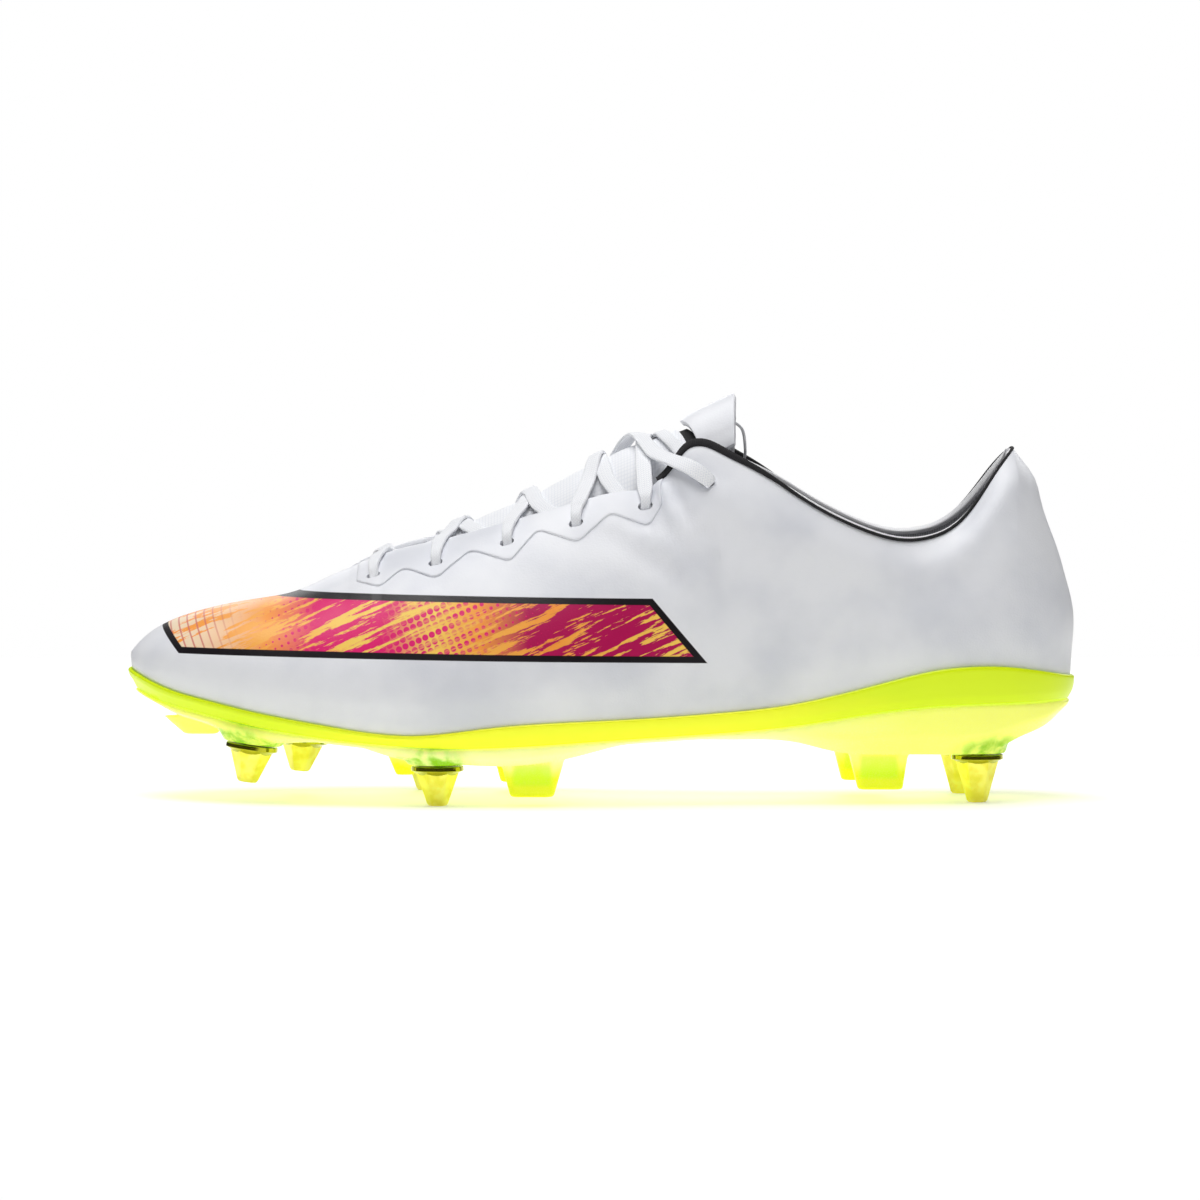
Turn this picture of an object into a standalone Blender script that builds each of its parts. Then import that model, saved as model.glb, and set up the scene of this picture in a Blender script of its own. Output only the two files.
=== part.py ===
"""Soft-ground soccer cleat, a left boot, as an assembly of its separate pieces.

Row frame: +X to the heel, -X to the toe, -Y to the outer (lateral) side, +Z up, z = 0 on the ground.
Design numbers are in millimetres. MM turns them into metres when a mesh is made.
"""

import math

import bmesh
import bpy
import numpy as np
from mathutils import Matrix, Vector

MM = 0.001
LATERAL, MEDIAL = -1, 1

# Driving dimensions of the boot
TOE_X = -141.0
HEEL_X = 141.6
VAMP_END_X = -80.0
THROAT_X = -74.5
HEEL_TOP_X = 123.2
HEEL_TOP_Z = 104.7
GAP = 0.3

# Sheets of the upper, and how deep the inner ones lie under its outer face
UPPER_THICK = 1.2
EYESTAY_LIFT = 0.45
EYESTAY_THICK = 0.65
EYELET_RADIUS = 2.8
INNER_DEPTH = 2.6
PUFF_THICK = 0.8
COUNTER_THICK = 1.2
COUNTER_TOP_Z = 53.0
FOAM_THICK = 2.0
FOAM_LOW_Z = 63.0
FOAM_EDGE = 3.5
LINING_DEPTH = 5.9
LINING_THICK = 0.8
LINING_EDGE = 1.8
PUFF_X, COUNTER_X, LINING_X = -104.0, 72.0, 46.0

# Lace, tongue and collar binding
LACE_RADIUS = 1.0
AGLET_LENGTH = 16.0
AGLET_WALL = 0.5
TONGUE_THICK = 2.0
TONGUE_X = -86.0
TONGUE_LINING_X, TONGUE_LINING_END_X = -70.0, 39.0
FLAP_X = 23.6
FLAP_END_X = 40.6
FLAP_THICK = 3.0
FLAP_HALF = 15.0
BINDING_RADIUS = 0.85
BINDING_LIFT = 1.5
BINDING_INSET = 0.5
BINDING_X = 17.0
COLLAR_MIDDLE_X = 60.0

# Layers over the parting line: outsole floor, insole board and sockliner
CUP_FLOOR = 2.2
CUP_WALL = 1.0
BOARD_LOW = CUP_FLOOR + GAP
BOARD_TOP = BOARD_LOW + 1.5
SOCKLINER_LOW = BOARD_TOP + GAP
SOCKLINER_TOP = SOCKLINER_LOW + 3.5
BOARD_INSET = 1.7
SOCKLINER_INSET = 1.9

# Traction plate, seats and the hardware of the screw-in studs
PLATE_RIM_THICK = 1.6
SHOULDER_INSET = 3.0
SEAT_RADIUS = 8.4
SEAT_FLARE = 3.5
PIN_RADIUS = 2.4
PIN_GRIP = 3.3
PIN_SINK = 4.0
INSERT_RADIUS = 4.7
INSERT_FLANGE_RADIUS = 6.3
INSERT_FLANGE_THICK = 1.2
CORE_INSET = 1.9
CORE_TIP_INSET = 1.6 * CORE_INSET
# A stud's round flange and the top of its six-sided cone, as (depth, radius to a corner, to a flat)
FLANGE_RINGS = ((0, 7.6, 7.6), (1.4, 7.7, 7.7))
CONE_TOP = (2.6, 6.9, 6.1)
STUD_TIP_RADIUS = 2.8
STUD_TIP_FLAT = 2.6
STUD_TIP_ROUND = 0.8
STUD_SIDES = 18

# Screw-in studs: name, x, y, height of the seat, length, tilt in degrees
STUDS = (
    ("front_lateral", -103.0, -17.0, 17.3, 11.2, 8),
    ("front_medial", -90.5, 29.0, 16.6, 10.2, 6),
    ("mid_lateral", -47.7, -33.0, 12.0, 11.7, 0),
    ("mid_medial", -53.0, 33.0, 12.0, 11.7, 0),
    ("heel_lateral", 111.7, -18.0, 14.5, 14.2, 0),
    ("heel_medial", 109.4, 19.0, 14.5, 14.2, 0),
)
# Moulded blades: core name, x span at the root, x span at the tip, y, half widths, height of the tip
BLADES = (
    ("mid_lateral", (-30.0, -9.5), (-26.3, -13.6), -33.5, 4.6, 3.4, 2.6),
    ("mid_medial", (-34.0, -13.5), (-30.3, -17.6), 31.0, 4.6, 3.4, 2.6),
    ("heel_lateral", (71.0, 92.5), (76.2, 89.4), -21.0, 4.8, 3.6, 4.0),
    ("heel_medial", (68.0, 89.5), (73.2, 86.4), 19.5, 4.8, 3.6, 4.0),
    ("", (-131.0, -112.0), (-124.8, -114.8), 6.0, 3.6, 2.6, 18.8),
    ("", (-66.0, -54.0), (-61.5, -56.0), 12.0, 3.0, 2.0, 6.0),
)
# Lace: its height over the tongue where two strands cross
HIGH_STRAND, LOW_STRAND = 4.3, 1.8
# The end tucked inside the collar, as (x, distance from the middle, z)
TAIL = (
    (35, 22, 86), (40, 23.5, 76), (41, 25, 66), (35, 27, 58), (18, 29.5, 53), (-6, 32, 51), (-22, 33, 51)
)

WHITE = (0.86, 0.87, 0.88, 1)
VOLT = (0.74, 0.95, 0.05, 1)
CLEAR_VOLT = (0.86, 1.0, 0.2, 1)
GOLD = (0.80, 0.72, 0.28, 1)
STEEL = (0.55, 0.55, 0.56, 1)
BLACK = (0.015, 0.012, 0.015, 1)
GREY = (0.24, 0.24, 0.25, 1)


def through(*knots):
    """A twice-smooth curve through (x, value) knots, held level outside them."""
    x, y = (np.array(v, float) for v in zip(*knots))
    count = len(x)
    step = np.diff(x)
    slope = np.diff(y) / step
    matrix, right = np.eye(count), np.zeros(count)
    for i in range(1, count - 1):
        matrix[i, i - 1 : i + 2] = step[i - 1], 2 * (step[i - 1] + step[i]), step[i]
        right[i] = 6 * (slope[i] - slope[i - 1])
    bend = np.linalg.solve(matrix, right)

    def value(at):
        at = min(max(at, x[0]), x[-1])
        i = min(int(np.searchsorted(x, at, side="right")) - 1, count - 2)
        a, b, h = x[i + 1] - at, at - x[i], step[i]
        cubic = (bend[i] * a**3 + bend[i + 1] * b**3) / (6 * h)
        return cubic + (y[i] / h - bend[i] * h / 6) * a + (y[i + 1] / h - bend[i + 1] * h / 6) * b

    return value


# The last: plan shape, by station along X
half_width = through((-141, 36), (-90, 42.4), (-45, 47), (0, 40.5), (50, 33.6), (100, 34.5), (141, 33))
centre_line = through((-141, 8.7), (-90, 4.5), (-45, -0.3), (0, -5.3), (45, -5.1), (100, -0.8), (141, -0.5))
ridge_line = through((-141, 8.7), (-90, 5.2), (-45, 2.2), (0, -0.8), (50, -2.3), (100, -0.8), (141, -0.5))
TOE_ROUND, HEEL_ROUND = 70.0, 42.0

# Side view: parting line under the cup, top edge of the cup, widest level, ridge, opening edge
parting_z = through(
    (-142.5, 33.8), (-139.2, 33), (-135.5, 31.4), (-129.8, 29.3), (-122, 27.4), (-102, 23), (-88, 20.8),
    (-74.6, 19.2), (-60, 18), (-48, 17.4), (-30, 17.6), (0, 19.4), (30, 21.2), (50, 22.7), (66, 24.8),
    (81, 27.2), (102, 29.3), (122, 29.8), (141.6, 30.3),
)
cup_top_z = through(
    (-141, 38.6), (-129, 33.4), (-117, 30.4), (-105, 27.8), (-81, 23.7), (-54, 21.0), (-33, 23.2),
    (3, 25.4), (39, 27.6), (51, 28.8), (63, 30.9), (87, 36.8), (99, 39.5), (108, 40.4), (117, 40.4),
    (129, 39), (141.6, 36.6),
)
widest_z = through(
    (-141, 41), (-130, 40), (-100, 36), (-60, 33), (-20, 36), (20, 40), (60, 44), (100, 50), (141.6, 53)
)
vamp_ridge_z = through(
    (-141, 43.5), (-138.5, 46.4), (-131, 51.9), (-122, 55.4), (-102, 59.6), (-91, 61.9), (-80, 66.8),
    (-68, 71.5),
)
heel_back_z = through(
    (0, 54), (0.9, 61), (1.52, 67), (2.14, 74), (2.9, 84), (3.51, 93.9), (4.29, HEEL_TOP_Z)
)
opening_z = through(
    (THROAT_X, 69.1), (-60, 74.5), (-48, 77.3), (-27, 83), (-7, 88.8), (8, 92.2), (17, 94.2),
    (21.4, 98.9), (24.8, 103.5), (28.4, 105.3), (32, 104.9), (36.6, 102.8), (48.1, 97.2), (62.3, 88.3),
    (76.5, 81.3), (83.6, 78.9), (90.7, 77.9), (97.8, 78.9), (104.9, 82.4), (112, 90), (119.1, 99.7),
    (HEEL_TOP_X, HEEL_TOP_Z),
)
opening_half = through(
    (THROAT_X, 10), (-60, 11), (-42, 13.5), (-20, 17), (7, 20.5), (28, 22), (50, 27), (65, 29.5), (85, 29),
    (100, 24), (112, 19.5), (HEEL_TOP_X, 19.5),
)
OPENING_ROUND = 22.0
dome_power = through(
    (-141, 2.3), (-100, 2.1), (-70, 1.8), (-40, 1.75), (10, 1.75), (50, 1.9), (100, 1.85), (141.6, 1.85)
)
tongue_ridge_z = through(
    (-90, 55), (-75, 61), (-62, 69.5), (-52, 76.3), (-41, 81.6), (-30, 86.2), (-20, 90.6), (-10, 95.8),
    (0, 101), (10, 105.4), (20, 109), (41, 117.8),
)
plate_bottom_z = through(
    (-137, 31.5), (-131, 28), (-124, 25), (-116, 23), (-108, 19.6), (-95, 18), (-84, 18.6), (-72, 17.8),
    (-62, 14.8), (-50, 12.9), (-38, 12.3), (-28, 12), (-8, 14.5), (6, 18), (40, 19.4), (58, 18.4), (68, 15.9),
    (80, 14.8), (100, 14.7), (112, 15), (118, 16.6), (124, 19.4), (133, 23), (138, 26.5), (141.6, 28.8),
)
flap_ridge_z = through((FLAP_X, 112.6), (26, 114.4), (33, 118), (FLAP_END_X, 121.3))
tongue_inset = through(
    (-90, 5), (-75, 6.5), (-62, 10), (-52, 13.5), (-42, 16.5), (-30, 16.5), (-20, 15), (0, 12.5), (20, 9),
    (41, 6.8),
)
tongue_half = through((-86, 14), (-60, 18), (-20, 22.5), (20, 22.5), (41, 19.5))
TUCK = 0.07
TUCK_ENDS = 1.6

# Eyelets and the tips and notches of the eyestay's lower edge, as (x, z) on the outer face
EYELETS = ((-66.9, 66.9), (-48.4, 70.8), (-27.3, 76.9), (-7.0, 82.6), (13.4, 87.6), (31.4, 95.0))
ZIGZAG = (
    (-72, 65.3), (-65, 63.9), (-58, 69.4), (-48.2, 66.7), (-38, 74.7), (-26.3, 71.8), (-18.3, 80.7),
    (-6.5, 77.4), (3.2, 85.8), (14.3, 81.9), (18.8, 88.6),
)


def round_end(distance, length, power=2.0):
    """0 at an end of an outline and 1 from length on, with a round nose."""
    left = max(0.0, 1 - max(distance, 0.0) / length)
    return (1 - left**power) ** (1 / power)


def is_open(x):
    return THROAT_X < x < HEEL_TOP_X


def side_width(x, side):
    """Distance from the ridge line to the widest line on one side."""
    ends = round_end(x - TOE_X, TOE_ROUND, 2.2) * round_end(HEEL_X - x, HEEL_ROUND)
    offset = (centre_line(x) - ridge_line(x)) * side * ends
    return half_width(x) * ends + offset


def edge_half(x):
    """Half width of the opening, from the ridge line to its edge."""
    ends = round_end(x - THROAT_X, OPENING_ROUND) * round_end(HEEL_TOP_X - x, OPENING_ROUND)
    return opening_half(x) * ends


def edge_z(x, side):
    lift = 1.5 if side == MEDIAL else 0.0
    near_end = round_end(x - THROAT_X, 60) * round_end(HEEL_TOP_X - x, 30)
    return opening_z(x) + lift * near_end


def ridge_z(x, side):
    """Top of the section's dome. Over the opening it is the height that carries the edge."""
    if x <= THROAT_X:
        if x < VAMP_END_X:
            return vamp_ridge_z(x)
        return np.interp(x, (VAMP_END_X, THROAT_X), (vamp_ridge_z(VAMP_END_X), opening_z(THROAT_X)))
    if x >= HEEL_TOP_X:
        return heel_back_z(math.sqrt(max(HEEL_X - x, 0)))
    power = dome_power(x)
    share = (1 - (edge_half(x) / side_width(x, side)) ** power) ** (1 / power)
    low = widest_z(x)
    return low + (edge_z(x, side) - low) / share


def skin(x, side, q):
    """Point on the upper's outer face: q 0 is the bottom edge, 1 the widest line, 2 the ridge."""
    width, low, wide = side_width(x, side), parting_z(x) + CUP_FLOOR + GAP, widest_z(x)
    middle = ridge_line(x)
    if q < 1:
        rest = (1 - q) ** 2
        end = TUCK_ENDS * (x / HEEL_X) ** 3 * rest
        return np.array((x - end, middle + side * width * (1 - TUCK * rest), low + (wide - low) * q))
    angle = (q - 1) * math.pi / 2
    power = 2 / dome_power(x)
    across = max(math.cos(angle), 0) ** power
    up = math.sin(angle) ** power
    return np.array((x, middle + side * width * across, wide + (ridge_z(x, side) - wide) * up))


def q_at(x, side, z):
    """The q at which the skin is at height z."""
    low, wide = parting_z(x) + CUP_FLOOR + GAP, widest_z(x)
    if z < wide:
        return max((z - low) / (wide - low), 0)
    share = min((z - wide) / (ridge_z(x, side) - wide), 1)
    return 1 + math.asin(share ** (dome_power(x) / 2)) * 2 / math.pi


def q_edge(x, side):
    return q_at(x, side, edge_z(x, side)) if is_open(x) else 2.0


def skin_frame(x, side, q):
    """Point, outward normal and the direction up the section, away from the boot's two ends."""
    along = skin(x + 0.3, side, q) - skin(x - 0.3, side, q)
    upward = skin(x, side, min(q + 0.01, 2)) - skin(x, side, q - 0.01)
    if q > 1.99:
        upward = np.array((0, -side, 0.0))
    upward /= np.linalg.norm(upward)
    normal = side * np.cross(upward, along)
    normal /= np.linalg.norm(normal)
    return skin(x, side, q), normal, upward


def stations(first, last, count, dense_first=False, dense_last=False):
    """Positions from first to last, closer together at the ends that ask for it."""
    share = np.linspace(0, 1, count)
    if dense_first and dense_last:
        share = (1 - np.cos(math.pi * share)) / 2
    elif dense_first:
        share = 1 - np.cos(math.pi / 2 * share)
    elif dense_last:
        share = np.sin(math.pi / 2 * share)
    return list(first + (last - first) * share)


ALL_STATIONS = (
    stations(TOE_X, THROAT_X, 11, dense_first=True)
    + [-73.6, -71, -66, -57, -48, -37, -27, -17, -7, 3, 12, 17.4, 21.5, 26, 31.5, 39, 50]
    + [62, 74, 86, 98, 107, 114, 118.5, 121.8, HEEL_TOP_X]
    + stations(HEEL_TOP_X, HEEL_X, 7, dense_last=True)[1:]
)


def ring_columns(first, last):
    """(x, side) columns over part of the boot, from one side round its end to the other side."""
    chosen = sorted({x for x in ALL_STATIONS if first < x < last} | {first, last})
    lateral = [(x, LATERAL) for x in reversed(chosen)]
    medial = [(x, MEDIAL) for x in chosen]
    if first == TOE_X:
        columns = lateral + medial[1:]
    elif last == HEEL_X:
        columns = medial + lateral[1:]
    else:
        raise ValueError("a patch reaches the toe or the heel")
    return columns[:-1] if first == TOE_X and last == HEEL_X else columns


def grid_normals(points, closed, on_ridge):
    """Outward normals of a column-by-row grid."""
    count = len(points)
    before = [points[i - 1 if closed or i else 0] for i in range(count)]
    after = [points[(i + 1) % count if closed else min(i + 1, count - 1)] for i in range(count)]
    along = np.array(after) - np.array(before)
    upward = np.gradient(points, axis=1)
    upward[on_ridge, -1] = (0, 1, 0)
    normals = np.cross(upward, along)
    sizes = np.linalg.norm(normals, axis=2, keepdims=True)
    normals /= np.maximum(sizes, 1e-9)
    flip = on_ridge & (normals[:, -1, 2] < 0)
    normals[flip, -1] *= -1
    flat = sizes[:, -1, 0] < 1e-6
    normals[flat, -1] = normals[flat, -2]
    return normals


def patch(columns, low, high, rows, depth=0.0):
    """A grid of points on the skin between two q limits, and its offset under the outer face."""
    q = np.linspace(0, 1, rows)
    limits = [(x, s, low(x, s), high(x, s)) for x, s in columns]
    points = np.array([[skin(x, s, start + (end - start) * t) for t in q] for x, s, start, end in limits])
    closed = len({x for x, _ in columns} & {TOE_X, HEEL_X}) == 2
    on_ridge = np.array([high(x, s) >= 2 and x not in (TOE_X, HEEL_X) for x, s in columns])
    normals = grid_normals(points, closed, on_ridge)
    return points - normals * depth, closed


def material(name, colour, roughness, metallic=0.0):
    made = bpy.data.materials.get(name) or bpy.data.materials.new(name)
    made.use_nodes = True
    shader = made.node_tree.nodes["Principled BSDF"]
    shader.inputs["Base Color"].default_value = colour
    shader.inputs["Roughness"].default_value = roughness
    shader.inputs["Metallic"].default_value = metallic
    return made


def add_object(name, points, faces, look, helper=False):
    """A mesh object from points in millimetres."""
    mesh = bpy.data.meshes.new(name)
    mesh.from_pydata([tuple(p) for p in np.asarray(points, float) * MM], [], faces)
    return finish_object(name, mesh, look, helper)


def finish_object(name, mesh, look, helper=False):
    obj = bpy.data.objects.new(name, mesh)
    bpy.data.collections["cutters" if helper else "soccer_cleat"].objects.link(obj)
    mesh.materials.append(look)
    mesh.shade_smooth()
    mesh.set_sharp_from_angle(angle=math.radians(35))
    if helper:
        obj.hide_render = True
        obj.display_type = "WIRE"
    return obj


def weld(obj):
    work = bmesh.new()
    work.from_mesh(obj.data)
    bmesh.ops.remove_doubles(work, verts=work.verts, dist=0.00001)
    work.to_mesh(obj.data)
    work.free()


def skin_sheet(name, columns, low, high, rows, depth, thickness, look):
    """A sheet that follows the skin: the open patch, thickened inwards."""
    points, closed = patch(columns, low, high, rows, depth)
    count = len(points)
    faces = []
    for i in range(count if closed else count - 1):
        k = (i + 1) % count
        for j in range(rows - 1):
            faces.append((i * rows + j, i * rows + j + 1, k * rows + j + 1, k * rows + j))
    obj = add_object(name, points.reshape(-1, 3), faces, look)
    weld(obj)
    thicken(obj, thickness)
    return obj


def thicken(obj, thickness, outward=False):
    solid = obj.modifiers.new("thickness", "SOLIDIFY")
    solid.thickness = thickness * MM
    solid.offset = 1 if outward else -1


def apply_modifiers(obj):
    graph = bpy.context.evaluated_depsgraph_get()
    mesh = bpy.data.meshes.new_from_object(obj.evaluated_get(graph))
    obj.modifiers.clear()
    obj.data = mesh


def boolean(obj, other, operation):
    step = obj.modifiers.new(operation.lower(), "BOOLEAN")
    step.operation = operation
    step.object = other
    apply_modifiers(obj)


def cylinder(name, x, y, low, high, radius, look, sides=16, top_radius=None, helper=False):
    """An upright cylinder, or a cone if its top radius differs."""
    mesh = bpy.data.meshes.new(name)
    work = bmesh.new()
    top = radius if top_radius is None else top_radius
    bmesh.ops.create_cone(
        work, cap_ends=True, segments=sides, radius1=radius * MM, radius2=top * MM, depth=(high - low) * MM
    )
    work.to_mesh(mesh)
    work.free()
    obj = finish_object(name, mesh, look, helper)
    obj.location = Vector((x, y, (low + high) / 2)) * MM
    return obj


# ---------------------------------------------------------------- upper


def make_upper(looks):
    columns = ring_columns(TOE_X, HEEL_X)
    upper = skin_sheet("upper", columns, lambda x, s: 0, q_edge, 9, 0, UPPER_THICK, looks["white"])
    apply_modifiers(upper)
    for side in (LATERAL, MEDIAL):
        for x, z in EYELETS:
            punch_eyelet(upper, x, side, z)
    return upper


def punch_eyelet(sheet, x, side, z):
    point, normal, _ = skin_frame(x, side, q_at(x, side, z))
    tool = cylinder("eyelet_punch", 0, 0, -4, 4, EYELET_RADIUS, sheet.data.materials[0], 12, helper=True)
    turn = Vector((0, 0, 1)).rotation_difference(Vector(normal)).to_matrix().to_4x4()
    tool.matrix_world = Matrix.Translation(Vector(point) * MM) @ turn
    bpy.context.view_layer.update()
    boolean(sheet, tool, "DIFFERENCE")
    bpy.data.objects.remove(tool)


def make_eyestay(side, looks):
    """The zigzag facing that carries the eyelets, on the outer face of the upper."""
    name = "eyestay_lateral" if side == LATERAL else "eyestay_medial"
    corners = [x for x, _ in ZIGZAG]
    xs = sorted(set(corners) | {(a + b) / 2 for a, b in zip(corners, corners[1:])})
    zig_x, zig_z = zip(*ZIGZAG)
    rows = 5
    points = []
    for x in xs:
        low = q_at(x, side, np.interp(x, zig_x, zig_z))
        high = q_at(x, side, edge_z(x, side) - 0.6)
        for t in np.linspace(0, 1, rows):
            point, normal, _ = skin_frame(x, side, low + (high - low) * t)
            points.append(point + normal * EYESTAY_LIFT)
    faces = []
    for i in range(len(xs) - 1):
        for j in range(rows - 1):
            a, b = i * rows + j, (i + 1) * rows + j
            face = (a, a + 1, b + 1, b)
            faces.append(face if side == MEDIAL else face[::-1])
    obj = add_object(name, points, faces, looks["white"])
    thicken(obj, EYESTAY_THICK, outward=True)
    apply_modifiers(obj)
    for x, z in EYELETS[:-1]:
        punch_eyelet(obj, x, side, z)
    return obj


def above_sole(height):
    """q limit at a height over the parting line."""
    return lambda x, s: q_at(x, s, parting_z(x) + height)


def at_level(z):
    """q limit at a height over the ground."""
    return lambda x, s: q_at(x, s, z)


def under_edge(depth):
    """q limit a little under the opening's edge, running out to the back line at the heel."""

    def limit(x, side):
        return q_at(x, side, edge_z(x, side) - depth * min(1, (HEEL_TOP_X - x) / 6)) if is_open(x) else 2.0

    return limit


def make_linings(looks):
    """Stiffeners, foam and lining, one inside the other."""
    low = above_sole(SOCKLINER_TOP + 0.8)
    ring = ring_columns(TOE_X, PUFF_X)
    skin_sheet("toe_puff", ring, low, lambda x, s: 1.75, 6, INNER_DEPTH, PUFF_THICK, looks["board"])
    ring = ring_columns(COUNTER_X, HEEL_X)
    high = at_level(COUNTER_TOP_Z)
    skin_sheet("heel_counter", ring, low, high, 4, INNER_DEPTH, COUNTER_THICK, looks["board"])
    ring = ring_columns(LINING_X, HEEL_X)
    high = under_edge(LINING_EDGE)
    skin_sheet("heel_lining", ring, low, high, 7, LINING_DEPTH, LINING_THICK, looks["lining"])
    ring = [(x, s) for x, s in ring if ridge_z(x, s) > FOAM_LOW_Z + 4]
    low, high = at_level(FOAM_LOW_Z), under_edge(FOAM_EDGE)
    skin_sheet("collar_foam", ring, low, high, 5, INNER_DEPTH, FOAM_THICK, looks["foam"])


# ---------------------------------------------------------------- tube and slab helpers


def tube(name, points, radius, look, sides_level=1, resolution=2):
    """A round cord through points in millimetres, as a closed mesh."""
    curve = bpy.data.curves.new(name, "CURVE")
    curve.dimensions = "3D"
    curve.bevel_depth = radius * MM
    curve.bevel_resolution = sides_level
    curve.resolution_u = resolution
    curve.use_fill_caps = True
    spline = curve.splines.new("BEZIER")
    spline.bezier_points.add(len(points) - 1)
    for knot, point in zip(spline.bezier_points, points):
        knot.co = Vector(point) * MM
        knot.handle_left_type = knot.handle_right_type = "AUTO"
    source = bpy.data.objects.new(name + "_path", curve)
    bpy.context.scene.collection.objects.link(source)
    graph = bpy.context.evaluated_depsgraph_get()
    mesh = bpy.data.meshes.new_from_object(source.evaluated_get(graph))
    bpy.data.objects.remove(source)
    mesh.name = name
    mesh.materials.clear()
    obj = finish_object(name, mesh, look)
    weld(obj)
    return obj


def lathe(name, profile, look, sides):
    """A closed (radius, height) outline turned about Z. It runs down its outer side."""
    mesh = bpy.data.meshes.new(name)
    count = len(profile)
    points = [(radius * MM, 0, height * MM) for radius, height in profile]
    mesh.from_pydata(points, [(i, (i + 1) % count) for i in range(count)], [])
    obj = finish_object(name, mesh, look)
    turn = obj.modifiers.new("turned", "SCREW")
    turn.axis = "Z"
    turn.steps = turn.render_steps = sides
    turn.use_merge_vertices = True
    turn.merge_threshold = 0.00001
    return obj


def fan_solid(name, columns, lines, look):
    """A closed solid from one polyline per column, each running from the centre line and back to it."""
    count = len(lines[0])
    faces = []
    for i in range(len(columns)):
        k = (i + 1) % len(columns)
        for j in range(count - 1):
            faces.append((i * count + j, i * count + j + 1, k * count + j + 1, k * count + j))
    obj = add_object(name, [p for line in lines for p in line], faces, look)
    weld(obj)
    return obj


def rim(inset):
    """The upper's bottom outline, moved inwards by inset, with the columns it belongs to."""
    columns = ring_columns(TOE_X, HEEL_X)
    points, _ = patch(columns, lambda x, s: 0, lambda x, s: 0.3, 2, 0)
    row = points[:, 0, :2]
    along = np.roll(row, -1, axis=0) - np.roll(row, 1, axis=0)
    normal = np.stack((along[:, 1], -along[:, 0]), axis=1)
    normal /= np.linalg.norm(normal, axis=1, keepdims=True)
    return columns, row + normal * inset


def centre_of(x, inset):
    """The centre-line point that serves a column, kept inside an inset outline."""
    x = min(max(x, TOE_X + inset + 0.6), HEEL_X - inset - 0.6)
    return x, ridge_line(x)


def slab(name, inset, low, high, look):
    """A flat layer over the sole, between two heights above the parting line."""
    columns, edge = rim(inset)
    lines = []
    for (x, _), (ex, ey) in zip(columns, edge):
        cx, cy = centre_of(x, inset)
        mx, my = (cx + ex) / 2, (cy + ey) / 2
        line = [(cx, cy, low), (mx, my, low), (ex, ey, low), (ex, ey, high), (mx, my, high), (cx, cy, high)]
        lines.append([(a, b, parting_z(a) + c) for a, b, c in line])
    return fan_solid(name, columns, lines, look)


# ---------------------------------------------------------------- sole


def make_cup(looks):
    """The volt outsole: a floor with a thin wall that wraps the bottom of the upper."""

    def bottom(x, side):
        return 0

    def top(x, side):
        return q_at(x, side, cup_top_z(x))

    columns = ring_columns(TOE_X, HEEL_X)
    inner, _ = patch(columns, bottom, top, 3, -GAP)
    outer, _ = patch(columns, bottom, top, 3, -GAP - CUP_WALL)
    _, edge = rim(0)
    lines = []
    for (x, _), inside, outside, (ex, ey) in zip(columns, inner, outer, edge):
        cx, cy = centre_of(x, 2)
        mx, my = (cx + ex) / 2, (cy + ey) / 2
        low = [(cx, cy, parting_z(cx)), (mx, my, parting_z(mx)), (ex, ey, parting_z(ex))]
        high = [(a, b, c + CUP_FLOOR) for a, b, c in low[:2]]
        corner = (inside[0][0], inside[0][1], parting_z(ex) + CUP_FLOOR)
        side = [tuple(p) for p in outside] + [tuple(p) for p in inside[:0:-1]]
        lines.append(low + side + [corner] + high[::-1])
    return fan_solid("outsole_plate", columns, lines, looks["volt"])


def plate_low_z(x):
    return min(parting_z(x) - PLATE_RIM_THICK, plate_bottom_z(x))


def make_traction_plate(looks):
    """The clear lower plate with its stud seats and moulded blades."""
    columns, edge = rim(-0.4)
    _, shoulder = rim(SHOULDER_INSET)
    lines = []
    for (x, _), (ex, ey), (sx, sy) in zip(columns, edge, shoulder):
        cx, cy = centre_of(x, 8)
        mx, my = (cx + sx) / 2, (cy + sy) / 2
        top = [(a, b, parting_z(a) - GAP) for a, b in ((cx, cy), (mx, my), (ex, ey))]
        rim_low = (ex, ey, 0.4 * (parting_z(ex) - GAP) + 0.6 * plate_low_z(ex))
        low = [(a, b, plate_low_z(a)) for a, b in ((sx, sy), (mx, my), (cx, cy))]
        lines.append((top + [rim_low] + low)[::-1])
    plate = fan_solid("traction_plate", columns, lines, looks["clear_volt"])
    for _, x, y, seat, _, tilt in STUDS:
        top = parting_z(x) - GAP - 1.0 - seat
        wide = SEAT_RADIUS + SEAT_FLARE
        pad = cylinder("pad", 0, 0, 0, top, SEAT_RADIUS, looks["clear_volt"], 18, wide, helper=True)
        move_to(pad, x, y, seat + top / 2, tilt)
        cut(plate, pad, "UNION")
    for blade in BLADES:
        cut(plate, blade_solid(blade, 0, looks["clear_volt"]), "UNION")
    for _, x, y, seat, _, tilt in STUDS:
        for radius, depth in ((INSERT_FLANGE_RADIUS, INSERT_FLANGE_THICK), (INSERT_RADIUS, PIN_GRIP)):
            low, high = -PIN_SINK, depth + GAP
            pocket = cylinder("pocket", 0, 0, low, high, radius + GAP, looks["clear_volt"], 24, helper=True)
            move_to(pocket, x, y, seat + (low + high) / 2, tilt)
            cut(plate, pocket, "DIFFERENCE")
    for blade in BLADES:
        if blade[0]:
            cut(plate, blade_solid(blade, CORE_INSET, looks["clear_volt"], rise=3), "DIFFERENCE")
    return plate


def cut(obj, tool, operation):
    bpy.context.view_layer.update()
    boolean(obj, tool, operation)
    bpy.data.objects.remove(tool)


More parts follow.
